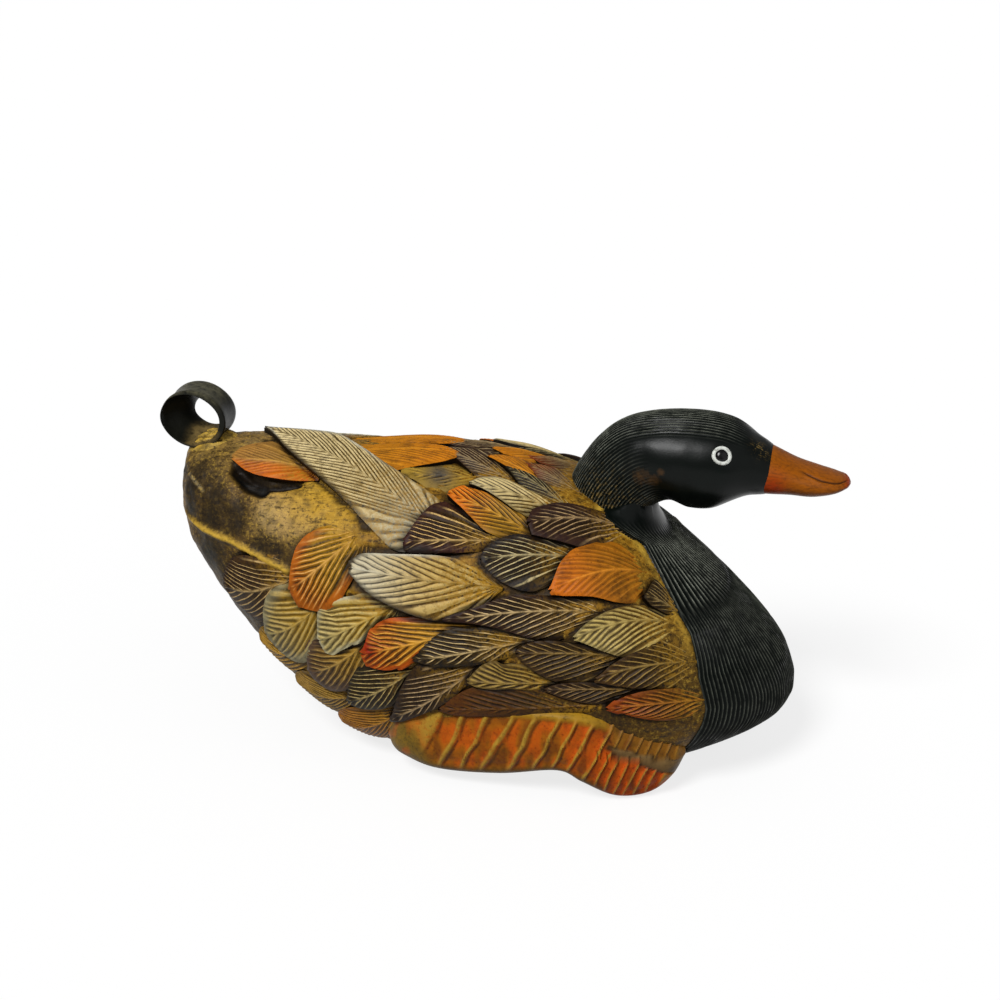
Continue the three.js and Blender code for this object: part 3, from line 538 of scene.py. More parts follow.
brush = add_node(tree, "Bump", {"Height": flecks, "Strength": 0.25, "Distance": 0.15 * mm})
polish = add_node(tree, "MapRange", {"Value": reach, "To Min": 0.15, "To Max": 0.07})
tree.links.new(polish, shader.inputs["Specular IOR Level"])
tree.links.new(gold_left, shader.inputs["Base Color"])
tree.links.new(brush, shader.inputs["Normal"])

combed_breast = new_piece("combed_breast", breast_points, grid_faces(breast_rows, breast_columns, False),
                          line=breast_line, fork=breast_fork.ravel(), reach=breast_reach.ravel(),
                          rubbed=breast_rub_and_sheen.ravel(), gilt=np.zeros(breast_turn.size),
                          worn=np.zeros(breast_turn.size))
carve_piece(combed_breast, combed_black, depth=0.75, share=0.15)
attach(combed_breast, "root")


# The head and neck. One block of the same wood, set into the shoulders on a dowel and glued.
# The nape, neck and crown are combed; the cheeks and face are left smooth and polished black.
neck_root = np.array([tail_end + 195, 0, body_section(195.0)[0] - 24])
face = [64.5, 39.6, -6]
head_sections = [
    # forward, up, lean, half height, half width
    [-4, 0, 92, 22, 24],
    [-4, 20, 86, 19.5, 20],
    [1.7, 31.9, 66, 20.0, 20],
    [12.5, 41.1, 36, 20.7, 20.4],
    [28.1, 42.5, 10, 21.3, 21.7],
    [44, 41.9, -8, 20.0, 21.8],
    [57, 40.9, -12, 13.4, 17.4],
    face + [10.4, 14],
]


def head_point(sections, numbers, angle, grow=0.0):
    """A point of the head or bill by section number and angle: 0 on the right, a quarter turn on top."""
    forward, up, lean, half_height, half_width = np.moveaxis(smooth_rows(sections, numbers), -1, 0)
    lean = np.radians(lean)
    rise = np.sin(angle) * (half_height + grow)
    x = neck_root[0] + forward - rise * np.sin(lean)
    y = -np.cos(angle) * (half_width + grow)
    return np.stack([x, y, neck_root[2] + up + rise * np.cos(lean)], -1)


head_lines = 84
head_columns = head_lines * points_per_line
head_rows = 140
head_number, head_angle = tube_grid(0.2, len(head_sections) - 1, head_rows, head_columns)
head_points = head_point(head_sections, head_number, head_angle)
head_folded = to_right(head_points)
on_top = fade(np.sin(head_angle), 0.66, 0.84)
on_neck = fade(head_number, 0.75, 1.25) * (1 - fade(head_number, 2.2, 3.4))
before_face = 1 - fade(head_number, 4.6, 5.7)
head_reach = np.maximum(on_neck, on_top * before_face)
head_line = np.tile(np.arange(head_columns) / points_per_line, head_rows) + 0.25 * mottle(head_points, 12)
dent_depth = 0.4
cheek_swell = 0.5
eye_dish_depth = 0.45
dents = dent_depth * mottle(head_points, 9) * (1 - head_reach)
dents = dents * fade(head_number, 2, 3) * (1 - fade(head_number, 6, 6.8))
cheek = near_spots(head_folded, ((84, -21, 137), 15))
eye_dish = near_spots(head_folded, ((97, -19, 144), 7))
head_rise = dents + cheek_swell * cheek - eye_dish_depth * eye_dish
core_inset = 4.0
head_out = unit(head_points - head_point(head_sections, head_number, head_angle, -core_inset))
nape_gilt = near_spots(head_folded, ((46, -18, 118), 12), ((58, -22, 112), 10), ((70, -20, 108), 7),
                       ((114, -9, 145), 4))
cheek_wear = near_spots(head_folded, ((64, -21, 132), 5), ((69, -21, 131), 4), ((72, -21, 135), 2.2))
head_piece = new_piece("combed_head", head_points + head_out * head_rise[:, None],
                       grid_faces(head_rows, head_columns, True), line=head_line, reach=head_reach,
                       gilt=0.9 * nape_gilt, worn=cheek_wear, rubbed=0.4 + 0.3 * on_top)
carve_piece(head_piece, combed_black, depth=0.5, share=0.12)
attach(head_piece, "root")
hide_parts("head")


# The eyes. A white enamelled ring is let into a drilled seat on each side of the head, and a black
# domed plug is pressed into its middle.
eye_section = 5.0
eye_angle = math.radians(27)
ring_radius = 4.15
pupil_radius = 2.6
eye_facets = 56
eye_sink = 0.35
crisp = math.radians(50)
step = 0.01
eye_place = head_point(head_sections, np.array(eye_section), eye_angle, -eye_sink)
eye_along = head_point(head_sections, np.array(eye_section + step), eye_angle, -eye_sink) - eye_place
eye_round = head_point(head_sections, np.array(eye_section), eye_angle + step, -eye_sink) - eye_place
eye_out = unit(np.cross(eye_along, eye_round))
eye_side = unit(np.cross(eye_out, [0, 0, 1]))
eye_up = np.cross(eye_side, eye_out)


def turned(profile, uneven=0.0):
    """A turned shape on the right eye's axis, from steps of radius and height, with a slightly uneven rim."""
    sweep = np.linspace(0, 2 * math.pi, eye_facets, endpoint=False)
    swell = 1 + uneven * (np.sin(2 * sweep + 0.7) + 0.6 * np.sin(3 * sweep + 2))
    ways = np.cos(sweep)[:, None] * eye_side + np.sin(sweep)[:, None] * eye_up
    rings = [eye_place + eye_out * rise + ways * (radius * swell)[:, None] for radius, rise in profile]
    return np.array(rings).reshape(-1, 3)


both_hands = (("right", 1), ("left", -1))


def mirrored(points, faces, flip):
    """Points and faces of the right side, or of their mirror image for the left."""
    return points * [1, flip, 1], faces if flip > 0 else [tuple(reversed(f)) for f in faces]


def both_sides(name, points, faces, material, node):
    """The right piece and its mirror image on the left, each standing for its own solid."""
    for side, flip in both_hands:
        piece = new_piece(f"{name}_{side}", *mirrored(points, faces, flip))
        piece.data.set_sharp_from_angle(angle=crisp)
        piece.data.materials.append(material)
        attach(piece, "root")
        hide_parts(f"{node}_{side}")


ring_profile = [(ring_radius, -1.5), (ring_radius, 0.15), (ring_radius - 0.2, 0.42), (ring_radius - 0.7, 0.6),
                (pupil_radius + 0.4, 0.55), (pupil_radius + 0.05, 0.3), (pupil_radius, -1.5)]
pupil_profile = [(pupil_radius, -3), (pupil_radius, 0.2), (2.3, 0.5), (1.7, 0.75), (0.9, 0.9), (0.05, 0.95)]

# White enamel, yellowed and chipped by age: glossy over a fine mottle.
chip_size = 1.3
eye_white, tree, shader = new_paint("aged white enamel", roughness=0.35, specular=0.4)
place = add_node(tree, "TexCoord", out="Object")
chips = add_node(tree, "TexNoise", {"Vector": place, "Scale": 1 / (chip_size * mm), "Detail": 4})
chip = add_node(tree, "MapRange", (chips, 0.5, 0.7))
enamel = add_node(tree, "Mix", {0: chip, 6: linear("#cfd2cb"), 7: linear("#8d8f86")}, **of_colours)
tree.links.new(enamel, shader.inputs["Base Color"])
both_sides("white_eye_ring", turned(ring_profile, 0.03), grid_faces(len(ring_profile), eye_facets, True)[:-2],
           eye_white, "eye_ring")

# Black glass enamel: almost a mirror, faintly clouded.
cloud_size = 2
eye_black, tree, shader = new_paint("black glass enamel", roughness=0.2, specular=0.3)
place = add_node(tree, "TexCoord", out="Object")
cloud = add_node(tree, "TexNoise", {"Vector": place, "Scale": 1 / (cloud_size * mm), "Detail": 2})
dark = add_node(tree, "Mix", {0: cloud, 6: linear("#030303"), 7: linear("#0a0a0b")}, **of_colours)
tree.links.new(dark, shader.inputs["Base Color"])
both_sides("black_eye_plug", turned(pupil_profile), grid_faces(len(pupil_profile), eye_facets, True),
           eye_black, "eye_pupil")


# The bill. A harder piece of wood dowelled to the face, with a line scribed round its tip on both sides,
# painted orange-brown and rubbed darker in the grain.
bill_sections = [
    face + [10.2, 13.8],
    [74.7, 37.2, -10, 7.6, 13.2],
    [84, 35.6, -10, 6.2, 12.8],
    [92.5, 35.3, -9, 4.1, 11],
    [97.6, 35.6, -5, 1.9, 6.6],
    [99.1, 35.5, -4, 0.5, 1.6],
]
lip_height = 0.35
scribe_depth = 0.8
lobe_swell = 0.6
bill_rows = 110
bill_columns = 128
bill_number, bill_angle = tube_grid(-0.08, len(bill_sections) - 1, bill_rows, bill_columns)
bill_points = head_point(bill_sections, bill_number, bill_angle)
bill_side = np.degrees(np.arcsin(np.sin(bill_angle)))
scribe_angle = np.interp(bill_number, [1.1, 1.7, 2.3, 2.9, 3.3, 3.8, 4.2], [54, 45, 37, 36, 40, 58, 80])
scribe_off = np.radians(bill_side - scribe_angle) * np.interp(bill_number, [0, 2, 4, 5], [12, 10, 5, 2])
scribed = fade(bill_number, 1.1, 1.6) * (1 - fade(bill_number, 3.8, 4.2))
scribe = bell(scribe_off, 0.55) * scribed
lip = bell(scribe_off + 1.3, 0.9) * scribed
bill_out = unit(bill_points - head_point(bill_sections, bill_number, bill_angle, -core_inset))
bill_lobe = near_spots(to_right(bill_points), ((118, -12, 128), 6))
bill_red = np.clip(fade(bill_number, 3.2, 4.4) + 1.2 * bill_lobe, 0, 1)
bill_rise = lip_height * lip - scribe_depth * scribe + lobe_swell * bill_lobe
bill_shape = bill_points + bill_out * bill_rise[:, None]
bill = new_piece("scribed_bill", bill_shape, grid_faces(bill_rows, bill_columns, True),
                 scribe=scribe, red=bill_red)

# Orange oil paint over a coarse hardwood grain: satin, with dark grain lines running to the tip.
fibre_width = 1.0
blotch_size = 6
bill_paint, tree, shader = new_paint("orange oil paint on grained wood", roughness=0.42, specular=0.14)
place = add_node(tree, "TexCoord", out="Object")
stretch = add_node(tree, "Mapping", {"Vector": place, "Scale": (0.3, 1.0, 1.0)})
fibres = add_node(tree, "TexNoise", {
    "Vector": stretch, "Scale": 1 / (fibre_width * mm), "Detail": 5, "Roughness": 0.7})
blotch = add_node(tree, "TexNoise", {"Vector": place, "Scale": 1 / (blotch_size * mm), "Detail": 4})
fibre = add_node(tree, "MapRange", (fibres, 0.45, 0.68, 0.0, 0.7))
orange = add_node(tree, "Mix", {0: blotch, 6: linear("#a05604"), 7: linear("#7c4204")}, **of_colours)
redder = add_node(tree, "Attribute", attribute_name="red", out="Fac")
warm = add_node(tree, "Mix", {0: redder, 6: orange, 7: linear("#9c3404")}, **of_colours)
fibred = add_node(tree, "Mix", {0: fibre, 6: warm, 7: linear("#542c06")}, **of_colours)
scribe_mark = add_node(tree, "Attribute", attribute_name="scribe", out="Fac")
lined = add_node(tree, "Mix", {0: scribe_mark, 6: fibred, 7: linear("#241005")}, **of_colours)
raised = add_node(tree, "Bump", {"Height": fibres, "Strength": 0.4, "Distance": 0.2 * mm})
tree.links.new(lined, shader.inputs["Base Color"])
tree.links.new(raised, shader.inputs["Normal"])
bill.data.materials.append(bill_paint)
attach(bill, "root")
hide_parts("bill")


# The tail curl. A thin strip of wood steamed, rolled into a ring and glued by a stub into the tail,
# as on a drake. Its hole narrows towards the far side; a rough gold-painted fillet holds its foot.
curl_length = 29.6
curl_height = 26
curl_width = 17
curl_lean = math.radians(-12)
curl_mouth = (26.8, 22.4, -1.3)
curl_throat = (16.6, 13.4, 4.2)
curl_centre = np.array([tail_end + 6.0, 0, body_section(6.8)[0] + curl_height / 2 - 1.2])
curl_segments = 140
curl_sweep = np.linspace(0, 2 * math.pi, curl_segments, endpoint=False)
curl_wave = 0.3 * np.sin(3 * curl_sweep + 0.5) + 0.15 * np.sin(5 * curl_sweep)


def curl_oval(length, tall, offset, y):
    """One oval rim of the curl."""
    flat_x = np.cos(curl_sweep) * length / 2
    flat_z = np.sin(curl_sweep) * tall / 2
    x = curl_centre[0] + offset + flat_x * math.cos(curl_lean) - flat_z * math.sin(curl_lean)
    z = curl_centre[2] + flat_x * math.sin(curl_lean) + flat_z * math.cos(curl_lean)
    return np.stack(np.broadcast_arrays(x, y, z), -1)


def curl_outside(y, inset):
    """The outer face at a place across the band."""
    return curl_oval(curl_length - 2 * inset, curl_height - 2 * inset, 0, y)


def curl_hole(y, inset):
    """The hole at a place across the band: a wide mouth on the right, a narrow throat on the left."""
    part = fade(np.mean(y), -curl_width / 2, curl_width / 2)
    length, tall, offset = np.array(curl_mouth) + (np.array(curl_throat) - curl_mouth) * part
    return curl_oval(length + 2 * inset, tall + 2 * inset, offset, y)


edge = curl_width / 2
band = [curl_outside(-edge + curl_wave, 0.3), curl_outside(-edge + 0.4 + curl_wave, 0.0)]
band += [curl_outside(y, 0.3 * math.cos(y / 4)) for y in np.linspace(-edge + 1.5, edge - 1.5, 9)]
band += [curl_outside(edge - 0.4 + curl_wave, 0.0), curl_outside(edge + curl_wave, 0.35)]
hole_first = len(band) * curl_segments
band += [curl_hole(edge + curl_wave, 0.35), curl_hole(edge - 0.4 + curl_wave, 0.0)]
band += [curl_hole(y, 0.0) for y in np.linspace(edge - 1.5, -edge + 1.5, 11)]
band += [curl_hole(-edge + 0.4 + curl_wave, 0.0), curl_hole(-edge + curl_wave, 0.2)]
band_points = np.array(band).reshape(-1, 3)
band_faces = grid_faces(len(band), curl_segments, True)[:-2]
last = (len(band) - 1) * curl_segments
for corner in range(curl_segments):
    beside = (corner + 1) % curl_segments
    band_faces.append((last + corner, corner, beside, last + beside))
top_worn = fade(band_points[:, 2], curl_centre[2] + 3, curl_centre[2] + 12)
top_worn[hole_first:] = 0
floor_gilt = np.zeros(len(band_points))
floor_gilt[hole_first:] = 1 - fade(band_points[hole_first:, 2], curl_centre[2] - 8, curl_centre[2] - 4)
floor_gilt = floor_gilt * fade(band_points[:, 0], curl_centre[0] - 7, curl_centre[0] + 1)
tail_curl = new_piece("rolled_tail_curl", band_points, band_faces, worn=top_worn, gilt=floor_gilt)
tail_curl.data.set_sharp_from_angle(angle=crisp)

# Black paint worn through to olive-grey wood along the top: satin, with the gold of the fillet
# rubbed on to its floor.
curl_rub_size = 3.5
curl_paint, tree, shader = new_paint("worn black oil paint", roughness=0.4, specular=0.14)
place = add_node(tree, "TexCoord", out="Object")
rubbed = add_node(tree, "TexNoise", {
    "Vector": place, "Scale": 1 / (curl_rub_size * mm), "Detail": 5, "Roughness": 0.7})
worn = add_node(tree, "Attribute", attribute_name="worn", out="Fac")
gilt = add_node(tree, "Attribute", attribute_name="gilt", out="Fac")
thin = add_node(tree, "MapRange", (rubbed, 0.3, 0.62))
wear = add_node(tree, "Math", (worn, thin), operation="MULTIPLY")
dark = add_node(tree, "Mix", {0: rubbed, 6: linear("#080906"), 7: linear("#1b1b15")}, **of_colours)
grey = add_node(tree, "Mix", {0: wear, 6: dark, 7: linear("#565340")}, **of_colours)
leafed = add_node(tree, "Math", (gilt, thin), operation="MULTIPLY")
rolled = add_node(tree, "Mix", {0: leafed, 6: grey, 7: linear("#7c673c")}, **of_colours)
rough = add_node(tree, "Bump", {"Height": rubbed, "Strength": 0.4, "Distance": 0.4 * mm})
tree.links.new(rolled, shader.inputs["Base Color"])
tree.links.new(rough, shader.inputs["Normal"])
tail_curl.data.materials.append(curl_paint)
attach(tail_curl, "root")
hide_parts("tail_curl")


# The fillet. A bead of putty pressed round the foot of the curl with a knife, to hold it on the tail.
# It was left in splintery ridges and painted gold like the deck.
fillet_middle = 11.5
fillet_half_length = 13
fillet_half_width = 11.5
fillet_height = 3.6
fillet_ridges = 1.6
fillet_sink = 0.6
fillet_rows = 48
fillet_columns = 80
fillet_part, fillet_sweep = tube_grid(0.02, 1, fillet_rows, fillet_columns)
fillet_x = np.maximum(fillet_middle + fillet_half_length * fillet_part * np.cos(fillet_sweep), 0.4)
fillet_y = fillet_half_width * fillet_part * np.sin(fillet_sweep)
fillet_angle = math.pi / 2 + np.arcsin(np.clip(fillet_y / body_section(fillet_x)[3], -0.98, 0.98))
fillet_ground = body_point(fillet_x, fillet_angle)
fillet_marks = mottle(fillet_ground / [5, 1.6, 3], 1)
fillet_rise = (fillet_height + fillet_ridges * fillet_marks) * (1 - fillet_part ** 2.5) - fillet_sink
fillet_points = fillet_ground + np.outer(fillet_rise, [0, 0, 1])
fillet_colours = coat(even("#a98b40", len(fillet_points)), "#6a5224", fade(-fillet_marks, 0, 0.4))
curl_fillet = new_piece("curl_fillet", fillet_points, grid_faces(fillet_rows, fillet_columns, True)[:-1],
                        paint=fillet_colours, dull=np.zeros(len(fillet_points)),
                        gilt=0.7 * fade(fillet_marks, 0, 0.3))
curl_fillet.data.materials.append(ground_paint)
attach(curl_fillet, "root")


# The legs. Each is a flat carving of a folded leg and webbed foot, pegged and glued to the flank,
# cut across with slanting ribs and painted orange, with gold rubbed over the ribs and the upper edge.
leg_sections = [
    # along, level, half height, how far it stands off the flank
    [101.5, 18.5, 3, 0.5],
    [104.5, 19.5, 9.5, 4],
    [111, 21.5, 13.5, 6],
    [125.5, 23, 17.3, 7],
    [153.5, 25.5, 17.5, 7.5],
    [178.5, 28.7, 15.3, 8],
    [189.5, 26, 17.5, 9],
    [203.5, 20.5, 19.5, 10],
    [217.5, 18, 17, 10],
    [226.5, 19, 11, 8],
    [231.5, 20, 3, 3],
]
leg_depth = 14
rib_places = [124.5, 134.7, 144.6, 154.4, 165.1, 175, 182.1, 189.7,
              198.2, 203.5, 208.5, 213.5, 218, 222.5, 227, 231.5]
leg_rows = 420
leg_columns = 132
leg_number, leg_angle = tube_grid(0, len(leg_sections) - 1, leg_rows, leg_columns)
leg_x, leg_level, leg_half, leg_proud = np.moveaxis(smooth_rows(leg_sections, leg_number), -1, 0)


def flank_reach(x, z):
    """How far the flank stands out from the middle plane."""
    top, level, bottom, half, above, below = body_section(x)
    full = np.where(z >= level, above, below)
    span = np.where(z >= level, top - level, level - bottom)
    return half * (1 - np.clip(np.abs(z - level) / span, 0, 1) ** full) ** (1 / full)


leg_outside = flank_reach(leg_x, leg_level) + leg_proud
leg_deep = (leg_depth + leg_proud) / 2
leg_power = 2 / np.where(np.sin(leg_angle) >= 0, 4, 2.2)
leg_y = -(leg_outside - leg_deep + leg_deep * signed_power(np.cos(leg_angle), leg_power))
leg_z = np.maximum(leg_level + leg_half * signed_power(np.sin(leg_angle), leg_power), off_table)

# The web of the foot is parted from the upper toe by a hollow wedge of bare wood.
wedge_low = np.interp(leg_x, [196, 201, 229], [28, 26.2, 9.5])
wedge_high = np.interp(leg_x, [196, 201, 229], [28, 28.8, 17.5])
leg_under = np.sin(leg_angle) < 0
leg_face = fade(np.cos(leg_angle), np.where(leg_under, 0.3, 0.0), np.where(leg_under, 0.7, 0.3))
wedge_soft = 0.4
in_wedge = fade(leg_z, wedge_low - wedge_soft, wedge_low + wedge_soft)
in_wedge = in_wedge * (1 - fade(leg_z, wedge_high - wedge_soft, wedge_high + wedge_soft))
in_wedge = in_wedge * fade(leg_x, 199, 203) * leg_face
leg_points = np.stack([tail_end + leg_x, leg_y + 1.0 * in_wedge, leg_z], -1)
rib_slant = 0.45
leg_line = np.interp(leg_x - rib_slant * (leg_z - 28.7), rib_places, np.arange(len(rib_places)) + 0.5)
leg_line = leg_line + 0.16 * mottle(leg_points, 10)
upper_toe = fade(leg_x, 198, 204) * (leg_z > (wedge_low + wedge_high) / 2)
top_band = fade(leg_z, leg_level + 0.66 * leg_half, leg_level + 0.86 * leg_half) * (1 - fade(leg_x, 196, 206))
low_band = 1 - fade(leg_z, leg_level - 0.86 * leg_half, leg_level - 0.6 * leg_half)
low_band = low_band * (1 - fade(leg_x, 192, 206))
toe_edge = (1 - fade(leg_z, leg_level - 0.96 * leg_half, leg_level - 0.8 * leg_half)) * fade(leg_x, 192, 206)
heel = 1 - fade(leg_x + 0.4 * leg_z, 122, 134)
leg_reach = leg_face * (1 - top_band) * (1 - low_band) * (1 - toe_edge) * (1 - heel)
leg_reach = leg_reach * (1 - in_wedge) * (1 - 0.5 * upper_toe)
leg_streaks = mottle(leg_points / [5, 1, 11] * [1, 0, 1], 1)

count = len(leg_points)
rib_side = leg_line - np.floor(leg_line) - 0.5
# The wedge's bare wood grows lighter towards its upper edge: a painted highlight.
wedge_paint_and_highlight = coat(even("#5c4628", count), "#86693e", fade(leg_z, wedge_low, wedge_high + 0.5))
leg_field = coat(even("#9c560a", count), "#b9520b", fade(leg_streaks, -0.2, 0.3))
leg_field = coat(leg_field, "#ba460a", 0.7 * fade(leg_x, 178, 194))
leg_field = coat(leg_field, "#c04a0c", fade(leg_x, 200, 212) * (1 - upper_toe))
leg_field = coat(leg_field, "#7c4e12", upper_toe)
leg_field = coat(leg_field, "#5c2806", 0.7 * fade(-leg_streaks, 0.12, 0.45))
leg_field = coat(leg_field, "#69531a", heel * (1 - 0.6 * fade(leg_streaks, 0.05, 0.3)))
leg_field = mixed(leg_field, wedge_paint_and_highlight, in_wedge)
# A dark line round the edge of the hollow wedge: painted shade.
leg_field = coat(leg_field, "#1c1005", 0.9 * 4 * in_wedge * (1 - in_wedge))
# A dark line along one side of each rib: painted shade.
leg_field = coat(leg_field, "#2a1205", 0.8 * leg_reach * bell(rib_side - 0.2, 0.07))
leg_field = coat(leg_field, "#98741a", top_band)
leg_field = coat(leg_field, "#54400f", 0.9 * low_band)
leg_ridge = coat(even("#a5802c", count), "#8c6826", fade(leg_x, 196, 210))

# Oil paint dry-brushed over carved wood: a dark or bright field, pale paint only on the ridges,
# and gold rubbed over.
drag_size = 3
feather_patch = 7
speck_size = 1.4
feather_paint, tree, shader = new_paint("dry-brushed oil paint on carved wood", roughness=0.48, specular=0.13)
place = add_node(tree, "TexCoord", out="Object")
field, ridge = (add_node(tree, "Attribute", attribute_name=mark) for mark in ("field", "ridge"))
line, reach, thin, rib, gilt, etched = (add_node(tree, "Attribute", attribute_name=mark, out="Fac")
                                        for mark in ("line", "reach", "thin", "rib", "gilt", "etched"))
wave = add_node(tree, "Math", (line, 0.5), operation="PINGPONG")
full = add_node(tree, "Math", (thin, 0.12), operation="ADD")
crest = add_node(tree, "MapRange", (wave, thin, full), interpolation_type="SMOOTHSTEP")
crest_here = add_node(tree, "Math", (crest, reach), operation="MULTIPLY")
crest_or_rib = add_node(tree, "Math", (crest_here, rib), operation="MAXIMUM")
drag = add_node(tree, "TexNoise", {
    "Vector": place, "Scale": 1 / (drag_size * mm), "Detail": 5, "Roughness": 0.7})
dry = add_node(tree, "MapRange", (drag, 0.32, 0.52, 0.25, 1.0))
crest_dry = add_node(tree, "Math", (crest_or_rib, dry), operation="MULTIPLY")
patches = add_node(tree, "TexNoise", {
    "Vector": place, "Scale": 1 / (feather_patch * mm), "Detail": 5, "Roughness": 0.65})
patch_dark = add_node(tree, "MapRange", (patches, 0.47, 0.72, 0.0, 0.6))
toned = add_node(tree, "Mix", {0: patch_dark, 6: field, 7: linear("#241505")}, **of_colours)
groove = add_node(tree, "MapRange", (wave, 0.05, 0.27, 0.92, 0.0))
groove_here = add_node(tree, "Math", (groove, etched), operation="MULTIPLY")
scored = add_node(tree, "Mix", {0: groove_here, 6: toned, 7: linear("#150c04")}, **of_colours)
brushed = add_node(tree, "Mix", {0: crest_dry, 6: scored, 7: ridge}, **of_colours)
specks = add_node(tree, "TexNoise", {
    "Vector": place, "Scale": 1 / (speck_size * mm), "Detail": 4, "Roughness": 0.72})
speck_gold = add_node(tree, "MapRange", (specks, 0.4, 0.56))
gold_here = add_node(tree, "Math", (speck_gold, gilt), operation="MULTIPLY")
gold = add_node(tree, "Mix", {0: patches, 6: linear("#ba8c26"), 7: linear("#6d4d0e")}, **of_colours)
golden = add_node(tree, "Mix", {0: gold_here, 6: brushed, 7: gold}, **of_colours)
speck_dark = add_node(tree, "MapRange", (specks, 0.32, 0.43, 0.5, 0.0))
aged = add_node(tree, "Mix", {0: speck_dark, 6: golden, 7: linear("#150d06")}, **of_colours)
texture = add_node(tree, "Bump", {"Height": specks, "Strength": 0.35, "Distance": 0.25 * mm})
tree.links.new(aged, shader.inputs["Base Color"])
tree.links.new(texture, shader.inputs["Normal"])

leg_gilt = np.clip(0.1 + 0.6 * top_band + 0.2 * heel, 0, 1) * (1 - in_wedge)
leg_faces = grid_faces(leg_rows, leg_columns, True)
for side, flip in both_hands:
    leg = new_piece(f"ribbed_leg_{side}", *mirrored(leg_points, leg_faces, flip),
                    line=leg_line, reach=leg_reach, field=leg_field, ridge=leg_ridge,
                    thin=np.full(count, 0.35), rib=np.zeros(count), gilt=leg_gilt, etched=0.1 * leg_reach)
    carve_piece(leg, feather_paint, depth=1.5, share=0.6)
    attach(leg, "root")
    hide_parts(f"leg_{side}")


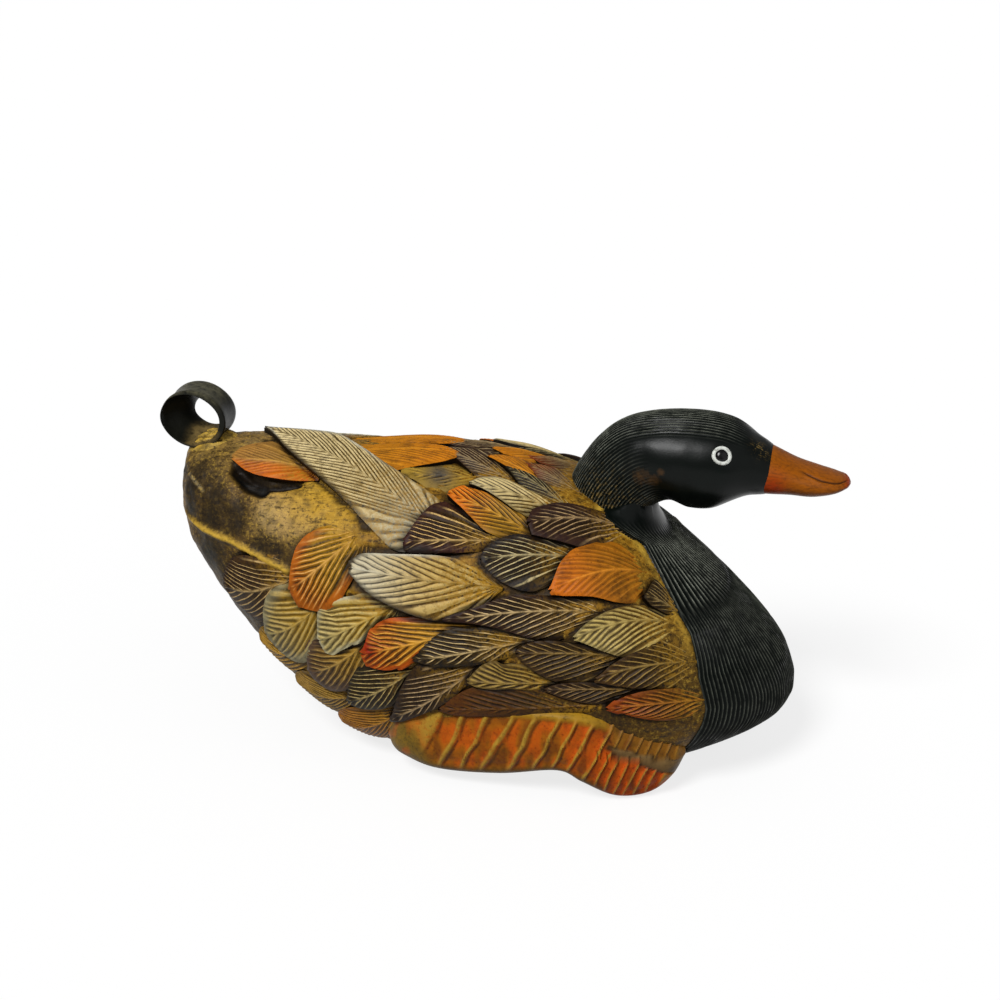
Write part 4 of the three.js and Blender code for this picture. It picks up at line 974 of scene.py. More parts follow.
# The feathers. Each stands up from the body as a shell with a sunk root and a lifted, undercut tip, scored
# with barbs that fan out from its rib. Three on each side are let in; the others are cut in the body.
outline_shares = [0, 0.14, 0.28, 0.42, 0.56, 0.7, 0.84, 0.94, 1]
barb_columns = 10
rows_per_barb = 6
fan_barbs = 6
fan_angle = math.radians(78)
barb_bend = 0.2
rim_drop = 0.3
edge_drop = 1.6
# How dark the walls of let-in feathers are painted: painted shade in their undercut.
wall_shade_tone = 0.05
feather_cut = 0.5
ground_cut = 0.8
widest_cut = 5.0
least_step = 0.3
# Near-black for the stop cuts beside raised edges: dark wash in the cuts and painted shade under the edges.
wash_and_shade_colour = "#120a04"
brush_load = (1.5, 1.33, 0.88)
middle_line = math.radians(89.6)
belly_widths = [6.4, 9.0, 9.0, 9.3, 10.8, 10.8, 8.6, 4.7, 0.3]
feathers = {
    # root and tip as distance from the tail end and angle round the body, widths above and below the rib,
    # lift of the tip, and paints
    "rump_red": dict(root=(71.4, 18.0), tip=(27.0, -24.0),
        up=[7.6, 10.8, 10.8, 11.0, 13.1, 12.6, 8.4, 3.7, 0.3],
        low=[5.7, 8.1, 8.1, 8.1, 10.1, 10.8, 9.0, 5.7, 1.1],
        lift=3.0, dark="#26120a", light="#b09c7c", end="#1c0c06", bare=2.5, gold=0.6),
    "rump_orange": dict(root=(94.7, 42.1), tip=(61.8, 4.4),
        up=[7.6, 10.8, 10.8, 12.1, 12.4, 10.8, 6.8, 2.9, 0.3],
        low=[7.2, 10.2, 10.2, 10.2, 12.4, 13.1, 10.9, 7.6, 5.3],
        lift=3.2, dark="#a07818", light="#c49c68", end="#a5520c", edge="#a8560f", bare=4.0, gold=0.7),
    "flank_olive": dict(root=(84.2, 14.4), tip=(48.0, -27.1),
        up=[9.0, 12.8, 12.8, 14.9, 14.6, 12.5, 8.9, 4.1, 0.3],
        low=[6.0, 8.6, 8.6, 8.6, 11.0, 12.5, 11.4, 8.3, 1.4],
        lift=3.2, dark="#a07c22", light="#9f9066", end="#8b8054", edge="#8d8666", bare=4.0, thin=0.24,
        gold=0.7,
        spacing=2.1, etch=0.8),
    "flank_cream": dict(root=(112.7, 17.6), tip=(75.0, -8.4),
        up=[6.4, 9.1, 9.1, 9.6, 11.2, 11.9, 9.6, 4.3, 0.3],
        low=[3.4, 4.8, 4.8, 4.8, 5.7, 5.5, 5.5, 6.6, 4.3],
        lift=3.2, dark="#b08a28", light="#a59a74", end="#8f8458", edge="#b2aa86", bare=1.5, thin=0.2,
        gold=0.7,
        spacing=2.1, etch=0.8),
    "flank_purple": dict(root=(104.4, 6.3), tip=(68.2, -27.9),
        up=[4.6, 6.5, 6.5, 6.5, 8.1, 11.5, 9.9, 3.6, 0.3],
        low=[5.7, 8.0, 8.0, 8.0, 9.9, 10.3, 9.3, 8.2, 2.5],
        lift=3.0, dark="#8a6824", light="#a08a5c", end="#4c382a", edge="#4a372b", bare=4.5, gold=0.7),
    "flank_green": dict(root=(125.0, 1.6), tip=(85.4, -30.3),
        up=[6.2, 8.7, 8.7, 8.7, 10.9, 10.8, 6.5, 2.2, 0.3],
        low=[4.6, 6.5, 6.5, 6.5, 7.8, 7.3, 5.7, 4.1, 0.7],
        lift=3.0, dark="#18140a", light="#b0a27e", end="#0d120c", edge="#0c110c", bare=3.0, gold=0.5),
    "thigh_brown": dict(root=(150.4, 6.8), tip=(104.6, -29.3),
        up=[8.2, 11.6, 11.6, 13.4, 12.8, 9.6, 4.9, 0.8, 0.3],
        low=[2.5, 3.5, 3.5, 3.9, 3.9, 3.4, 3.4, 3.2, 1.8],
        lift=3.0, dark="#1c0f09", light="#a89684", end="#160b08", edge="#170b09", bare=3.5, gold=0.4),
    "side_orange": dict(root=(152.1, 18.6), tip=(94.5, -4.7),
        up=[5.9, 8.3, 8.3, 8.3, 10.3, 11.3, 9.5, 2.7, 0.3],
        low=[2.0, 2.9, 2.9, 2.9, 4.5, 8.2, 8.7, 6.9, 5.0],
        lift=3.4, dark="#a8781a", light="#cf9c4e", end="#b0560d", edge="#b24c0c", bare=2.5, gold=0.5,
        spot=(0.93, -0.1, 4.0, "#8f1d08")),
    "side_black": dict(root=(173.1, 15.3), tip=(117.5, -0.2),
        up=[6.2, 8.8, 8.8, 9.3, 10.3, 9.9, 6.7, 2.3, 0.3],
        low=[3.3, 4.7, 5.1, 6.0, 5.3, 4.5, 3.3, 1.7, 0.4],
        lift=3.2, dark="#100a06", light="#c0ae90", end="#080706", edge="#070605", bare=3.0, gold=0.6),
    "back_orange": dict(root=(67.0, 83.0), tip=(125.4, 84.2),
        up=[9, 13, 15, 17, 17, 14, 11, 8, 4],
        low=[4.8, 6.8, 7.4, 8.0, 8.0, 7.6, 6.6, 4.5, 0.3],
        lift=2.2, dark="#b4700f", light="#cf8c2a", end="#c0720f", bare=1.5, thin=0.36, gold=0.1, score=0.45,
        spacing=1.8),
    "back_gold": dict(root=(147.7, 73.9), tip=(104.1, 66.9),
        up=[6.3, 8.9, 8.9, 8.9, 9.7, 7.7, 6.3, 5.9, 5.9],
        low=[6.2, 8.7, 8.7, 8.7, 10.7, 9.1, 3.7, 0.6, 0.3],
        lift=1.0, dark="#94762a", light="#b89a45", end="#9a7c2c", bare=9.0, gold=0.6,
        spot=(0.62, 0.0, 6.5, "#484540")),
    "back_purple": dict(root=(156.4, 73.2), tip=(115.0, 86.0),
        up=[9, 13, 16, 17, 18, 16, 9, 4, 0.6],
        low=[4.3, 6.0, 9.7, 8.5, 6.2, 3.3, 0.8, 0.3, 0.7],
        lift=2.0, dark="#33261f", light="#948776", end="#352320", bare=1.5, spacing=1.8),
    "shoulder_orange": dict(root=(168.6, 78.1), tip=(138.0, 86.0),
        up=[6, 9, 10, 10.5, 12, 12, 8, 3.5, 0.5],
        low=[2.1, 3.0, 3.7, 3.8, 3.3, 2.6, 1.4, 0.4, 0.3],
        lift=1.8, dark="#ad6c14", light="#cb8c30", end="#bd7212", bare=1.5, thin=0.36, gold=0.1, score=0.45,
        spacing=1.8),
    "shoulder_red": dict(root=(182.9, 78.6), tip=(153.5, 87.0),
        up=[8, 12, 13, 13.5, 14, 11, 6, 2, 0.3],
        low=[4.8, 6.8, 7.3, 8.3, 7.6, 5.5, 1.9, 0.4, 0.3],
        lift=1.2, dark="#4e3d30", light="#83765f", end="#7a3416", spacing=1.8),
    "shoulder_slate": dict(root=(183.7, 65.9), tip=(147.1, 81.0),
        up=[3.2, 4.5, 4.5, 5.0, 5.3, 5.0, 4.0, 2.2, 0.8],
        low=[4.6, 6.6, 6.6, 7.0, 7.5, 6.0, 3.3, 0.9, 0.3],
        lift=1.6, dark="#1e1d17", light="#908a74", end="#151713", spacing=1.8),
    "shoulder_pale": dict(root=(180.9, 64.7), tip=(134.3, 66.3),
        up=[4.0, 5.7, 5.7, 5.7, 7.3, 8.7, 7.4, 4.2, 0.3],
        low=[5.0, 7.0, 7.0, 8.8, 7.5, 4.6, 1.8, 0.5, 0.3],
        lift=3.0, dark="#6e5a2e", light="#aaa084", end="#a79a74", thin=0.15, spacing=1.9),
    "wing_orange": dict(root=(171.5, 50.4), tip=(126.5, 59.8),
        up=[5.0, 7.0, 7.0, 7.0, 8.6, 9.2, 8.6, 6.9, 0.5],
        low=[6.1, 8.6, 8.6, 9.1, 9.5, 6.8, 3.8, 2.0, 0.3],
        lift=3.2, dark="#8b651a", light="#b78f42", end="#cf6a08", thin=0.36, bare=2.0, gold=0.3, spacing=1.9),
    "wing_maroon": dict(root=(154.5, 46.4), tip=(110.9, 38.1),
        up=[10.7, 15.1, 15.1, 15.1, 18.1, 16.2, 9.5, 3.6, 0.3],
        low=[3.2, 4.6, 4.6, 4.9, 5.4, 5.3, 4.9, 5.0, 3.1],
        lift=3.4, dark="#26130c", light="#c0a880", end="#280f12", edge="#2e1116", bare=4.5, gold=0.4),
    "wing_purple": dict(root=(205.0, 74.1), tip=(161.7, 54.4),
        up=[4.5, 6.4, 6.4, 6.4, 7.8, 8.1, 6.9, 5.7, 0.3],
        low=[9.0, 12.8, 12.8, 14.0, 14.3, 11.6, 8.6, 6.5, 4.9],
        lift=3.0, dark="#2a1a14", light="#a08c76", end="#24130f", edge="#261313", bare=4.5, gold=0.3),
    "wing_navy": dict(root=(187.1, 49.2), tip=(144.0, 37.0),
        up=[5.3, 7.5, 7.5, 7.5, 8.9, 8.4, 6.5, 3.8, 0.6],
        low=[8.6, 12.2, 12.2, 12.2, 14.2, 13.1, 9.7, 5.1, 0.3],
        lift=3.2, dark="#13130f", light="#b2ab96", end="#0e1216", edge="#0c1119", bare=3.5, gold=0.5),
    "breast_orange": dict(root=(217.1, 60.7), tip=(173.7, 32.0),
        up=[6.7, 9.5, 12.3, 12.2, 10.9, 10.6, 7.1, 2.4, 0.3],
        low=[7.4, 10.5, 11.5, 12.4, 11.1, 7.6, 5.1, 3.2, 1.2],
        lift=3.4, dark="#9a5c0e", light="#bc7e30", end="#c2640f", thin=0.38, bare=2.0, gold=0.2, score=0.45,
        spacing=1.9),
    "side_maroon": dict(root=(204.4, 32.7), tip=(128.7, 14.7),
        up=[4.0, 5.7, 5.7, 6.0, 6.8, 5.0, 2.5, 1.4, 0.3],
        low=[6.4, 9.1, 9.4, 12.4, 9.4, 5.2, 2.3, 1.0, 0.3],
        lift=3.2, dark="#190c08", light="#b6a48a", end="#170706", edge="#1c0607", bare=2.0, gold=0.3),
    "breast_cream": dict(root=(230.5, 46.0), tip=(184.8, 18.7),
        up=[3.2, 4.5, 4.8, 5.3, 5.0, 4.5, 3.3, 1.7, 0.3],
        low=[8.1, 11.4, 11.4, 13.0, 13.3, 11.8, 7.5, 2.9, 0.3],
        lift=3.0, dark="#62491a", light="#a09468", end="#8b7c4c", thin=0.2, bare=0.8, gold=0.4, spacing=1.7,
        etch=0.8),
    "breast_brown": dict(root=(228.6, 50.0), tip=(211.3, 45.2),
        up=[4.4, 6.2, 6.2, 7.1, 8.8, 9.7, 5.1, 1.3, 0.3],
        low=[2.2, 3.1, 3.1, 3.6, 4.1, 3.8, 3.5, 1.9, 1.0],
        lift=2.2, dark="#20180e", light="#8c7d60", end="#1e150c", spacing=1.8, gold=0.5),
    "side_olive": dict(root=(215.3, 19.5), tip=(161.4, 9.4),
        up=[2.1, 3.0, 3.0, 3.0, 3.9, 5.0, 4.7, 3.1, 0.6],
        low=[7.6, 10.8, 10.8, 11.8, 12.7, 11.9, 9.1, 4.6, 0.3],
        lift=2.8, dark="#1e1308", light="#86734e", end="#2a1a0e", bare=1.5, gold=0.5),
    "breast_dark": dict(root=(240.2, 30.2), tip=(193.8, 7.1),
        up=[4.3, 6.0, 10.1, 8.5, 5.8, 4.4, 2.7, 0.6, 0.3],
        low=[6.1, 8.6, 10.6, 10.5, 9.4, 7.8, 5.2, 2.8, 1.1],
        lift=2.8, dark="#251807", light="#8a774e", end="#38240f", bare=1.5, gold=0.5),
    "low_silver": dict(root=(185.4, 3.3), tip=(141.0, -2.0),
        up=[5.8, 8.2, 8.2, 8.2, 9.7, 9.1, 6.4, 2.6, 0.3],
        low=[1.9, 2.7, 2.7, 3.2, 3.2, 3.2, 3.2, 2.7, 0.7],
        lift=2.6, dark="#4a3818", light="#8a7848", end="#6a562c", thin=0.24, gold=0.6),
    "low_purple": dict(root=(223.3, 8.7), tip=(173.4, 0.5),
        up=[1.4, 2.0, 2.0, 2.0, 2.6, 2.9, 2.5, 1.5, 0.3],
        low=[3.8, 5.4, 5.4, 5.4, 6.4, 6.2, 4.1, 1.6, 0.3],
        lift=2.4, dark="#1a0f08", light="#806c50", end="#2a1a12", gold=0.4, spacing=1.7),
    "low_orange": dict(root=(245.7, 9.4), tip=(199.3, -1.2),
        up=[3.5, 5.0, 5.0, 5.6, 5.8, 5.4, 4.2, 2.4, 0.3],
        low=[5.6, 7.9, 7.9, 8.9, 9.0, 7.6, 5.0, 2.5, 0.3],
        lift=3.0, dark="#6a3c0c", light="#94642e", end="#8a380a", thin=0.34, bare=2.0, gold=0.4, spacing=1.7),
    "low_red": dict(root=(213.7, 3.0), tip=(127.2, -16.8),
        up=[6.1, 8.6, 8.6, 8.6, 10.8, 11.2, 8.3, 3.4, 0.3],
        low=[2.5, 3.6, 3.6, 4.2, 4.2, 4.2, 4.2, 3.3, 0.6],
        lift=1.8, dark="#241305", light="#583a14", end="#4c260a", bare=5.0, gold=0.5),
    "low_gold": dict(root=(75.6, -15.2), tip=(42.0, -44.0),
        up=belly_widths, low=belly_widths,
        lift=2.4, dark="#80601c", light="#b2904c", end="#8c6a26", gold=0.7, spacing=1.7),
    "low_tan": dict(root=(94.0, -23.2), tip=(58.0, -52.0),
        up=belly_widths, low=belly_widths,
        lift=2.6, dark="#765a20", light="#a58a54", end="#7e6230", gold=0.6, spacing=1.5),
    "low_amber": dict(root=(114.0, -22.0), tip=(78.0, -58.0),
        up=belly_widths, low=belly_widths,
        lift=2.8, dark="#8a5a1c", light="#ad8042", end="#955c20", gold=0.6, spacing=1.7),
    "wing_primary": dict(root=(129.2, 44.3), tip=(36.8, 84.0),
        up=[9.0, 11.6, 11.0, 11.0, 12.9, 15.3, 8.3, 2.7, 0.3],
        low=[9.1, 21.9, 18.8, 15.7, 13.3, 10.9, 6.9, 1.4, 0.3],
        lift=7.0, thick=2.4, tip_wall_shade_tone=0.5, painted_gap_shade=0.8, etch=0.8, sink=-1.2, ramp=0.55, camber=0.4,
        dark="#76602e",
        light="#b6ae9a", end="#7d6c46", edge="#b4b09c", thin=0.15, bare=1.3, spacing=1.5, lean=21,
        spot=(0.14, 0.35, 15, "#aca790")),
    "wing_tertial": dict(root=(154.6, 29.3), tip=(88.8, 24.0),
        up=[0.3, 6.1, 10.1, 10.6, 9.7, 8.5, 7.5, 6.2, 1.5],
        low=[0.3, 9.4, 12.6, 15.6, 14.6, 12.6, 9.8, 6.0, 1.6],
        lift=4.0, thick=2.4, painted_gap_shade=1.9, etch=0.9, sink=-1.2, ramp=0.6, camber=0.4, dark="#7e5a14",
        light="#aa9a70",
        end="#7d7250", edge="#cfcab6", thin=0.1, bare=0.8, spacing=2.3, lean=18, gold=0.6,
        spot=(0.92, 0.0, 17, "#c6bfa6")),
    "tail_feather": dict(root=(68.6, 65.0), tip=(28.7, 57.2),
        up=[0.3, 5.8, 11.4, 12.5, 12.3, 10.4, 7.9, 5.4, 0.8],
        low=[5.9, 7.0, 7.7, 7.9, 7.6, 6.9, 5.1, 2.3, 0.3],
        lift=5.0, thick=2.0, sink=-1.2, ramp=0.6, camber=0.4, dark="#91692e", light="#b58f55", end="#9a6c30",
        lower="#c4600c", thin=0.34, bare=1.0, spacing=1.5, lean=16, gold=0.5, score=0.4, etch=0.8),
}


def margin(widths, share):
    """Width of a feather on one side of its rib, from widths at set shares of its length."""
    fine = np.linspace(0, 1, 240)
    raw = np.interp(fine, outline_shares, widths)
    padded = np.concatenate([np.full(10, raw[0]), raw, np.full(10, raw[-1])])
    return np.where(share > 1, 0, np.interp(share, fine, np.convolve(padded, np.ones(21) / 21, "valid")))


def barb_grid(root, tip, up, low, spacing, lean):
    """Points along the barbs of a feather: the barbs' numbers and the rib's length, then for each point its
    share of that length, its distance from the rib and from the outline, its place and which way it faces."""
    shares = np.linspace(0, 1, 80)
    root_x, root_turn = root[0], math.radians(root[1])
    tip_x, tip_turn = tip[0], math.radians(tip[1])
    spine = body_point(root_x + (tip_x - root_x) * shares, root_turn + (tip_turn - root_turn) * shares)
    walked = np.concatenate([[0], np.cumsum(np.linalg.norm(np.diff(spine, axis=0), axis=1))])
    length = walked[-1]
    lean = math.radians(lean)
    stem_barbs = max(4, int(round(0.93 * length * math.sin(lean) / spacing)))
    number = np.arange((fan_barbs + stem_barbs) * rows_per_barb + 1) / rows_per_barb
    in_fan = np.minimum(number / fan_barbs, 1)
    on_stem = np.maximum(number - fan_barbs, 0) / stem_barbs
    sway = mottle([(0.8 * n, length, root_x) for n in number], 1)
    sway = sway * fade(on_stem, 0, 0.2) * (1 - fade(on_stem, 0.8, 1))
    angle = fan_angle + (lean - fan_angle) * in_fan + 0.05 * sway
    start = (0.03 * in_fan + 0.94 * on_stem) * length + 0.3 * spacing / math.sin(lean) * sway
    rows = len(number)
    parts = (np.arange(barb_columns + 1) / barb_columns) ** 1.4
    sides = []
    halvings = 34
    for widths in (up, low):
        near = np.zeros(rows)
        far = np.full(rows, length)
        for _ in range(halvings):
            middle = (near + far) / 2
            off = middle * np.sin(angle) * (1 - barb_bend * middle / length)
            beyond = off > margin(widths, (start + middle * np.cos(angle)) / length)
            far = np.where(beyond, middle, far)
            near = np.where(beyond, near, middle)
        sides.append(near[:, None] * parts[None])
    barb = np.concatenate([sides[0][:, :0:-1], sides[1]], axis=1)
    hand = np.concatenate([-np.ones(barb_columns), np.ones(barb_columns + 1)])[None]
    run = start[:, None] + barb * np.cos(angle)[:, None]
    off = hand * barb * np.sin(angle)[:, None] * (1 - barb_bend * barb / length)
    room = np.where(hand < 0, margin(up, run / length), margin(low, run / length)) - np.abs(off)
    room = np.maximum(np.minimum(room, length - run), 0)
    share = np.interp(run, walked, shares)
    x = root_x + (tip_x - root_x) * share
    turn = root_turn + (tip_turn - root_turn) * share
    along, around, out = body_slopes(x, turn)
    cross = np.cross(out, unit(along * (tip_x - root_x) + around * (tip_turn - root_turn)))
    x = np.clip(x + off * (cross * along).sum(-1) / (along ** 2).sum(-1), 1, body_length - 1)
    turn = np.minimum(turn + off * (cross * around).sum(-1) / (around ** 2).sum(-1), middle_line)
    return number, length, share, off, room, body_point(x, turn), body_slopes(x, turn)[2]


def feather(root, tip, up, low, lift, dark, light, end, thin=0.35, bare=1.2, gold=0.4, spacing=1.95, lean=20,
            edge=None, lower=None, spot=None, sink=0.4, ramp=0.75, camber=1.0, score=1.0,
            etch=1.0, thick=None, tip_wall_shade_tone=wall_shade_tone, painted_gap_shade=0):
    """One carved feather: its points, faces and paint, from its root, tip and outline on the body."""
    number, length, share, off, room, base_points, out = barb_grid(root, tip, up, low, spacing, lean)
    rows, columns = share.shape
    widest = max(max(up), max(low))
    rise = -sink + (lift + sink) * fade(share, 0.0, ramp) - camber * (off / widest) ** 2
    rise = rise - 0.5 * bell(room, 0.7) + 0.3 * bell(off, 0.6) * (1 - share)
    sheet = (base_points + out * rise[..., None]).reshape(-1, 3)
    total = rows * columns
    share, off, room = share.ravel(), off.ravel(), room.ravel()
    waver = mottle(sheet, 5)
    scored = score * fade(np.abs(off), 0.1, 0.6) * fade(share, 0.0, 0.1)
    scored = scored * fade(room + 0.8 * bare * waver, 0.3 * bare, bare)
    paint = coat(even(dark, total), end, fade(share, 0.45, 0.95))
    if edge:
        paint = coat(paint, edge, (1 - fade(room, 0.7 * bare, 1.1 * bare)) * fade(share, 0.25, 0.5))
    if lower:
        paint = coat(paint, lower, fade(off, -0.5, 3.0))
    pale = mixed(np.minimum(even(light, total) * brush_load, 0.85), paint, np.full(total, 0.15))
    if spot:
        spot_share, spot_side, spot_reach, spot_colour = spot
        near = bell(np.hypot((share - spot_share) * length, 0.8 * (off - spot_side * widest)), spot_reach)
        paint = coat(paint, spot_colour, near)
        pale = coat(pale, spot_colour, 0.8 * near)
    # Near-black along the lower and tip rims of a let-in plate: painted shade for the gap under its edge.
    if painted_gap_shade:
        gap_shade = (1 - fade(room + 0.5 * painted_gap_shade * waver, 0.55 * painted_gap_shade, painted_gap_shade)) * fade(share, 0.25, 0.4)
        gap_shade = 0.95 * gap_shade * np.maximum(fade(off, 0, 2), fade(share, 0.86, 0.93))
        paint = coat(paint, wash_and_shade_colour, gap_shade)
        pale = coat(pale, wash_and_shade_colour, gap_shade)
    index = np.arange(total).reshape(rows, columns)
    rim = np.concatenate([index[0], index[1:, -1], index[-1, -2::-1], index[-2:0:-1, 0]])
    rim_out = out.reshape(-1, 3)[rim]
    rim_base = base_points.reshape(-1, 3)[rim]
    lip_points = rim_base + rim_out * np.maximum(rise.ravel()[rim] - rim_drop, -edge_drop)[:, None]
    foot_points = rim_base - rim_out * edge_drop
    faces = grid_faces(rows, columns, False)
    around_rim = len(rim)
    if thick:
        foot_points = (base_points + out * np.maximum(rise - thick, -edge_drop)[..., None]).reshape(-1, 3)
        faces += [tuple(total + around_rim + v for v in reversed(f)) for f in faces]
    foot = rim if thick else np.arange(around_rim)
    for k in range(around_rim):
        after = (k + 1) % around_rim
        faces.append((int(rim[after]), int(rim[k]), total + k, total + after))
        low_here, low_after = (total + around_rim + int(foot[n]) for n in (k, after))
        faces.append((total + after, total + k, low_here, low_after))
    below = around_rim + len(foot_points)
    # The walls under every rim and the underside of each let-in plate are painted near-black as painted
    # shade; a let-in plate's lip takes its own paint darkened the same way, less so at the tip.
    wall_shade_paint = even("#0d0804", below)
    if thick:
        tone = wall_shade_tone + (tip_wall_shade_tone - wall_shade_tone) * fade(share[rim], 0.85, 0.95)
        wall_shade_paint[:around_rim] = paint[rim] * tone[:, None]
    none = np.zeros(below)
    stem = bell(off, 0.4) * fade(share, 0.12, 0.3) * (1 - fade(share, 0.75, 0.92)) * (bare < 6)
    return {
        "points": np.concatenate([sheet, lip_points, foot_points]),
        "faces": faces,
        "line": np.concatenate([np.repeat(number, columns) + 0.22 * waver, none]),
        "reach": np.concatenate([scored, none]),
        "etched": np.concatenate([etch * scored, none]),
        "field": np.concatenate([paint, wall_shade_paint]),
        "ridge": np.concatenate([pale, wall_shade_paint]),
        "thin": np.concatenate([np.full(total, thin), none + 0.4]),
        "rib": np.concatenate([0.8 * stem, none]),
        "gilt": np.concatenate([np.minimum(1.7 * gold, 1) * (1 - 0.92 * fade(share, 0.12, 0.6)), none]),
        "base": base_points.reshape(-1, 3),
        "out": out.reshape(-1, 3),
        "rise": rise.ravel(),
        "proud": 0.6 if thick else 0,
        "edges": [k for k in rim if share[k] > 0.3 and rise.ravel()[k] > 0.4],
    }


def cut_beside(points, heights, edges, own=None):
    """How deep a stop cut lies at points of some height, beside the raised edges of other feathers."""
    depth = np.zeros(len(points))
    for number, (point, height) in enumerate(zip(points, heights)):
        for _, k, away in edges["tree"].find_range(point, widest_cut):
            over = edges["owner"][k] != own and edges["height"][k] > height + least_step
            if over and away < edges["reach"][k]:
                depth[number] = max(depth[number], 1 - away / edges["reach"][k])
    return fade(depth, 0.0, 0.5)


def stop_cuts_and_shade(leaves):
    """Cuts down the feathers and the ground along every raised edge that lies over them, and darkens them
    there with dark wash and painted shade.
    """
    edges = {"height": [], "owner": []}
    edges["tree"] = kdtree.KDTree(sum(len(leaf["edges"]) for leaf in leaves))
    for owner, leaf in enumerate(leaves):
        for k in leaf["edges"]:
            edges["tree"].insert(leaf["base"][k], len(edges["owner"]))
            edges["height"].append(leaf["rise"][k] + leaf["proud"])
            edges["owner"].append(owner)
    edges["tree"].balance()
    height = np.array(edges["height"])
    reach = np.minimum(0.8 + 0.7 * height + 2 * np.maximum(height - 3.2, 0), widest_cut)
    edges["reach"] = (reach * (1 - 0.75 * fade(height, 4.2, 5.6))).tolist()
    for owner, leaf in enumerate(leaves):
        total = len(leaf["base"])
        depth = cut_beside(leaf["base"], leaf["rise"], edges, owner)
        leaf["points"][:total] -= leaf["out"] * (feather_cut * depth)[:, None]
        # The darkening there is dark wash and painted shade under the raised edge.
        leaf["field"][:total] = coat(leaf["field"][:total], wash_and_shade_colour, 0.9 * depth)
        leaf["ridge"][:total] = coat(leaf["ridge"][:total], wash_and_shade_colour, 0.75 * depth)
        leaf["gilt"][:total] *= 1 - depth
    depth = cut_beside(body_folded, np.zeros(len(body_folded)), edges)
    shape = (body_shape - body_out * (ground_cut * depth)[:, None]) * mm
    carved_body.data.vertices.foreach_set("co", shape.ravel())
    # The ground beside raised edges is darkened the same way: dark wash and painted shade.
    colours = np.ones((len(ground), 4))
    colours[:, :3] = coat(ground, wash_and_shade_colour, 0.9 * depth)
    carved_body.data.attributes["paint"].data.foreach_set("color", colours.ravel())
    carved_body.data.attributes["gilt"].data.foreach_set("value", ground_gilt * (1 - depth))
    carved_body.data.attributes["dull"].data.foreach_set("value", np.maximum(ground_dull, 0.9 * depth))


def lay_feathers(name, leaves, flip):
    """Several feathers as one carved piece, mirrored for the left side."""
    faces = []
    first = 0
    for leaf in leaves:
        faces += [tuple(v + first for v in f) for f in leaf["faces"]]
        first += len(leaf["points"])
    marks = {mark: np.concatenate([leaf[mark] for leaf in leaves])
             for mark in ("line", "reach", "etched", "field", "ridge", "thin", "rib", "gilt")}
    points = np.concatenate([leaf["points"] for leaf in leaves])
    piece = new_piece(name, *mirrored(points, faces, flip), **marks)
    carve_piece(piece, feather_paint, depth=0.7, share=0.12, sharp=55)
    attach(piece, "root")
    return piece


let_in = {"wing_primary": "silver_wood", "wing_tertial": "silver_wood", "tail_feather": "orange_wood"}
left_set = {
    "wing_primary": {"tip": (42, 68), "lift": 1.2, "sink": 0.4, "up": [2, 4, 5, 6, 7, 7, 4, 1.5, 0.3]},
    "wing_tertial": {},
    "tail_feather": {"tip": (28.7, 52), "lift": 2.0, "sink": 0.2},
}
leaves = {name: feather(**shape) for name, shape in feathers.items()}
stop_cuts_and_shade(list(leaves.values()))
for node_name, slot_name in let_in.items():
    shape = feathers[node_name]
    for side, flip in both_hands:
        own_set = flip < 0 and left_set[node_name]
        leaf = feather(**{**shape, **own_set}) if own_set else leaves[node_name]
        plume = lay_feathers(f"scored_{node_name}_{side}", [leaf], flip)
        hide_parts(f"{node_name}_{side}")

cut_leaves = [leaf for name, leaf in leaves.items() if name not in let_in]
for side, flip in both_hands:
    lay_feathers(f"carved_feathers_{side}", cut_leaves, flip)


# The dowels and pegs. Turned beech, glued inside the joints, with nothing showing from outside.
# Pale and dry, with a fine fleck.
ray_size = 2
beech, tree, shader = new_paint("bare turned beech", roughness=0.7)
place = add_node(tree, "TexCoord", out="Object")
rays = add_node(tree, "TexNoise", {"Vector": place, "Scale": 1 / (ray_size * mm), "Detail": 3})
wood = add_node(tree, "Mix", {0: rays, 6: linear("#c8a574"), 7: linear("#ad8652")}, **of_colours)
tree.links.new(wood, shader.inputs["Base Color"])
for node_name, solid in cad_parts.items():
    if "dowel" in node_name or "peg" in node_name:
        solid.data.materials.clear()
        solid.data.materials.append(beech)


# The stage. A wide white table in soft light from a window at the upper left, with a weaker one
# on the right, seen from the photograph's side.
reach = 60
floor_mesh = bpy.data.meshes.new("table")
corners = [(-reach, -reach, 0), (reach, -reach, 0), (reach, reach, 0), (-reach, reach, 0)]
floor_mesh.from_pydata(corners, [], [(0, 1, 2, 3)])
table = bpy.data.objects.new("table", floor_mesh)
bpy.context.scene.collection.objects.link(table)
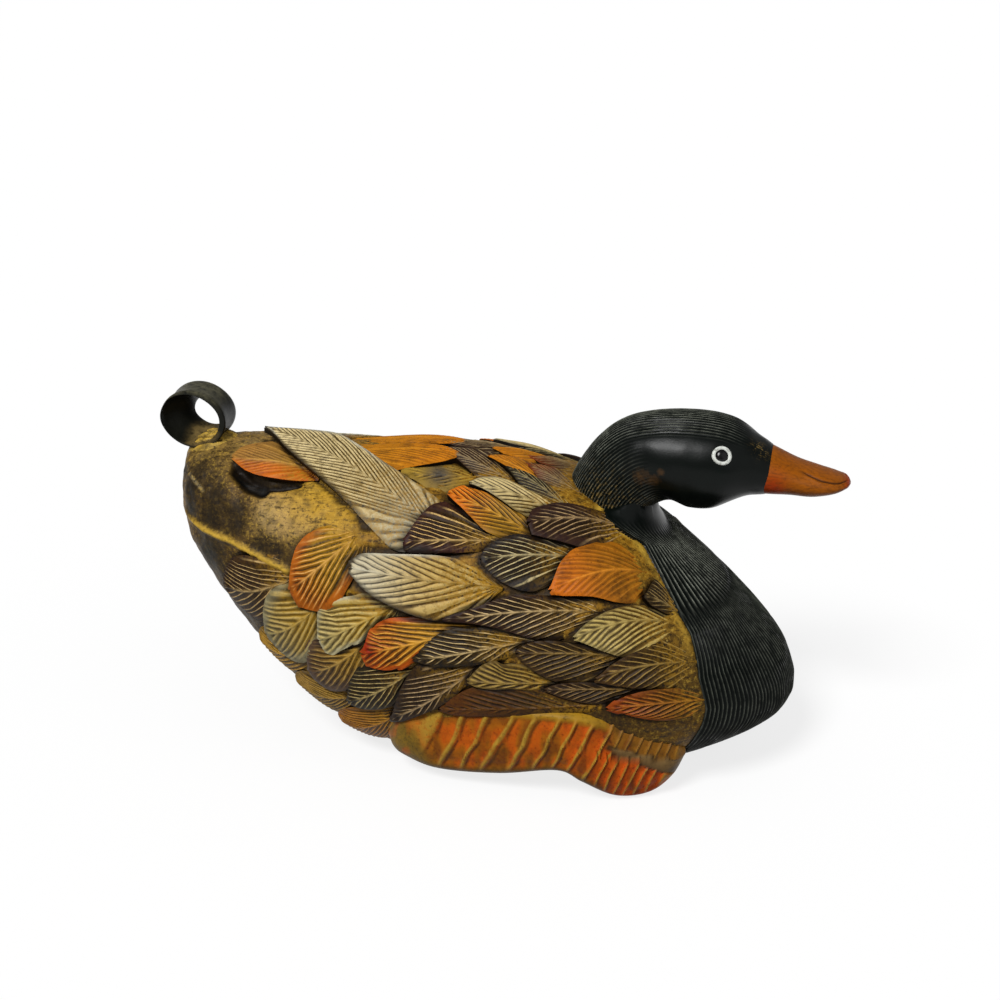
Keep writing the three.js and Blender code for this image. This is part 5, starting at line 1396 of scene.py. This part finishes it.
# Matt white card: it takes soft shadows and looks plain white to the camera.
table_white, tree, shader = new_paint("matt white table", roughness=0.9, specular=0.0)
shader.inputs["Base Color"].default_value = linear("#808080")
shader.inputs["Emission Color"].default_value = linear("#e6e6e6")
ray = tree.nodes.new("ShaderNodeLightPath").outputs
seen = add_node(tree, "Math", (ray["Is Camera Ray"], ray["Is Glossy Ray"]), operation="ADD")
shown = add_node(tree, "Math", (seen, ray["Is Transmission Ray"]), operation="MAXIMUM")
tree.links.new(shown, shader.inputs["Emission Strength"])
floor_mesh.materials.append(table_white)

world = bpy.data.worlds.new("room")
bpy.context.scene.world = world
world.use_nodes = True
room_light = world.node_tree.nodes["Background"].inputs
room_light["Color"].default_value = (1, 1, 1, 1)
room_light["Strength"].default_value = 0.25
windows = [
    # name, towards it, spread in degrees, power
    ("window", (-0.24, -0.66, 0.73), 20, 2.9),
    ("far_window", (0.75, -0.55, 0.5), 60, 0.4),
]
for name, way, spread, power in windows:
    lamp = bpy.data.lights.new(name, "SUN")
    lamp.angle = math.radians(spread)
    lamp.energy = power
    lamp_object = bpy.data.objects.new(name, lamp)
    lamp_object.rotation_euler = (-Vector(way)).to_track_quat("-Z", "Y").to_euler()
    bpy.context.scene.collection.objects.link(lamp_object)

camera_turn = math.radians(10)
camera_tilt = math.radians(20)
camera_away = 0.9
camera_aim = Vector((-0.0004, 0, 0.1104))
pixels_per_mm = 2.27
picture_pixels = 1000
sensor_width = 36
back = Vector((math.sin(camera_turn) * math.cos(camera_tilt), -math.cos(camera_turn) * math.cos(camera_tilt),
               math.sin(camera_tilt)))
right = Vector((math.cos(camera_turn), math.sin(camera_turn), 0))
camera_data = bpy.data.cameras.new("camera")
camera_data.sensor_width = sensor_width
camera_data.lens = sensor_width * pixels_per_mm * camera_away / mm / picture_pixels
camera = bpy.data.objects.new("camera", camera_data)
axes = Matrix((right, back.cross(right), back)).transposed().to_4x4()
camera.matrix_world = Matrix.Translation(camera_aim + back * camera_away) @ axes
bpy.context.scene.collection.objects.link(camera)
bpy.context.scene.camera = camera
bpy.context.scene.view_settings.view_transform = "Standard"
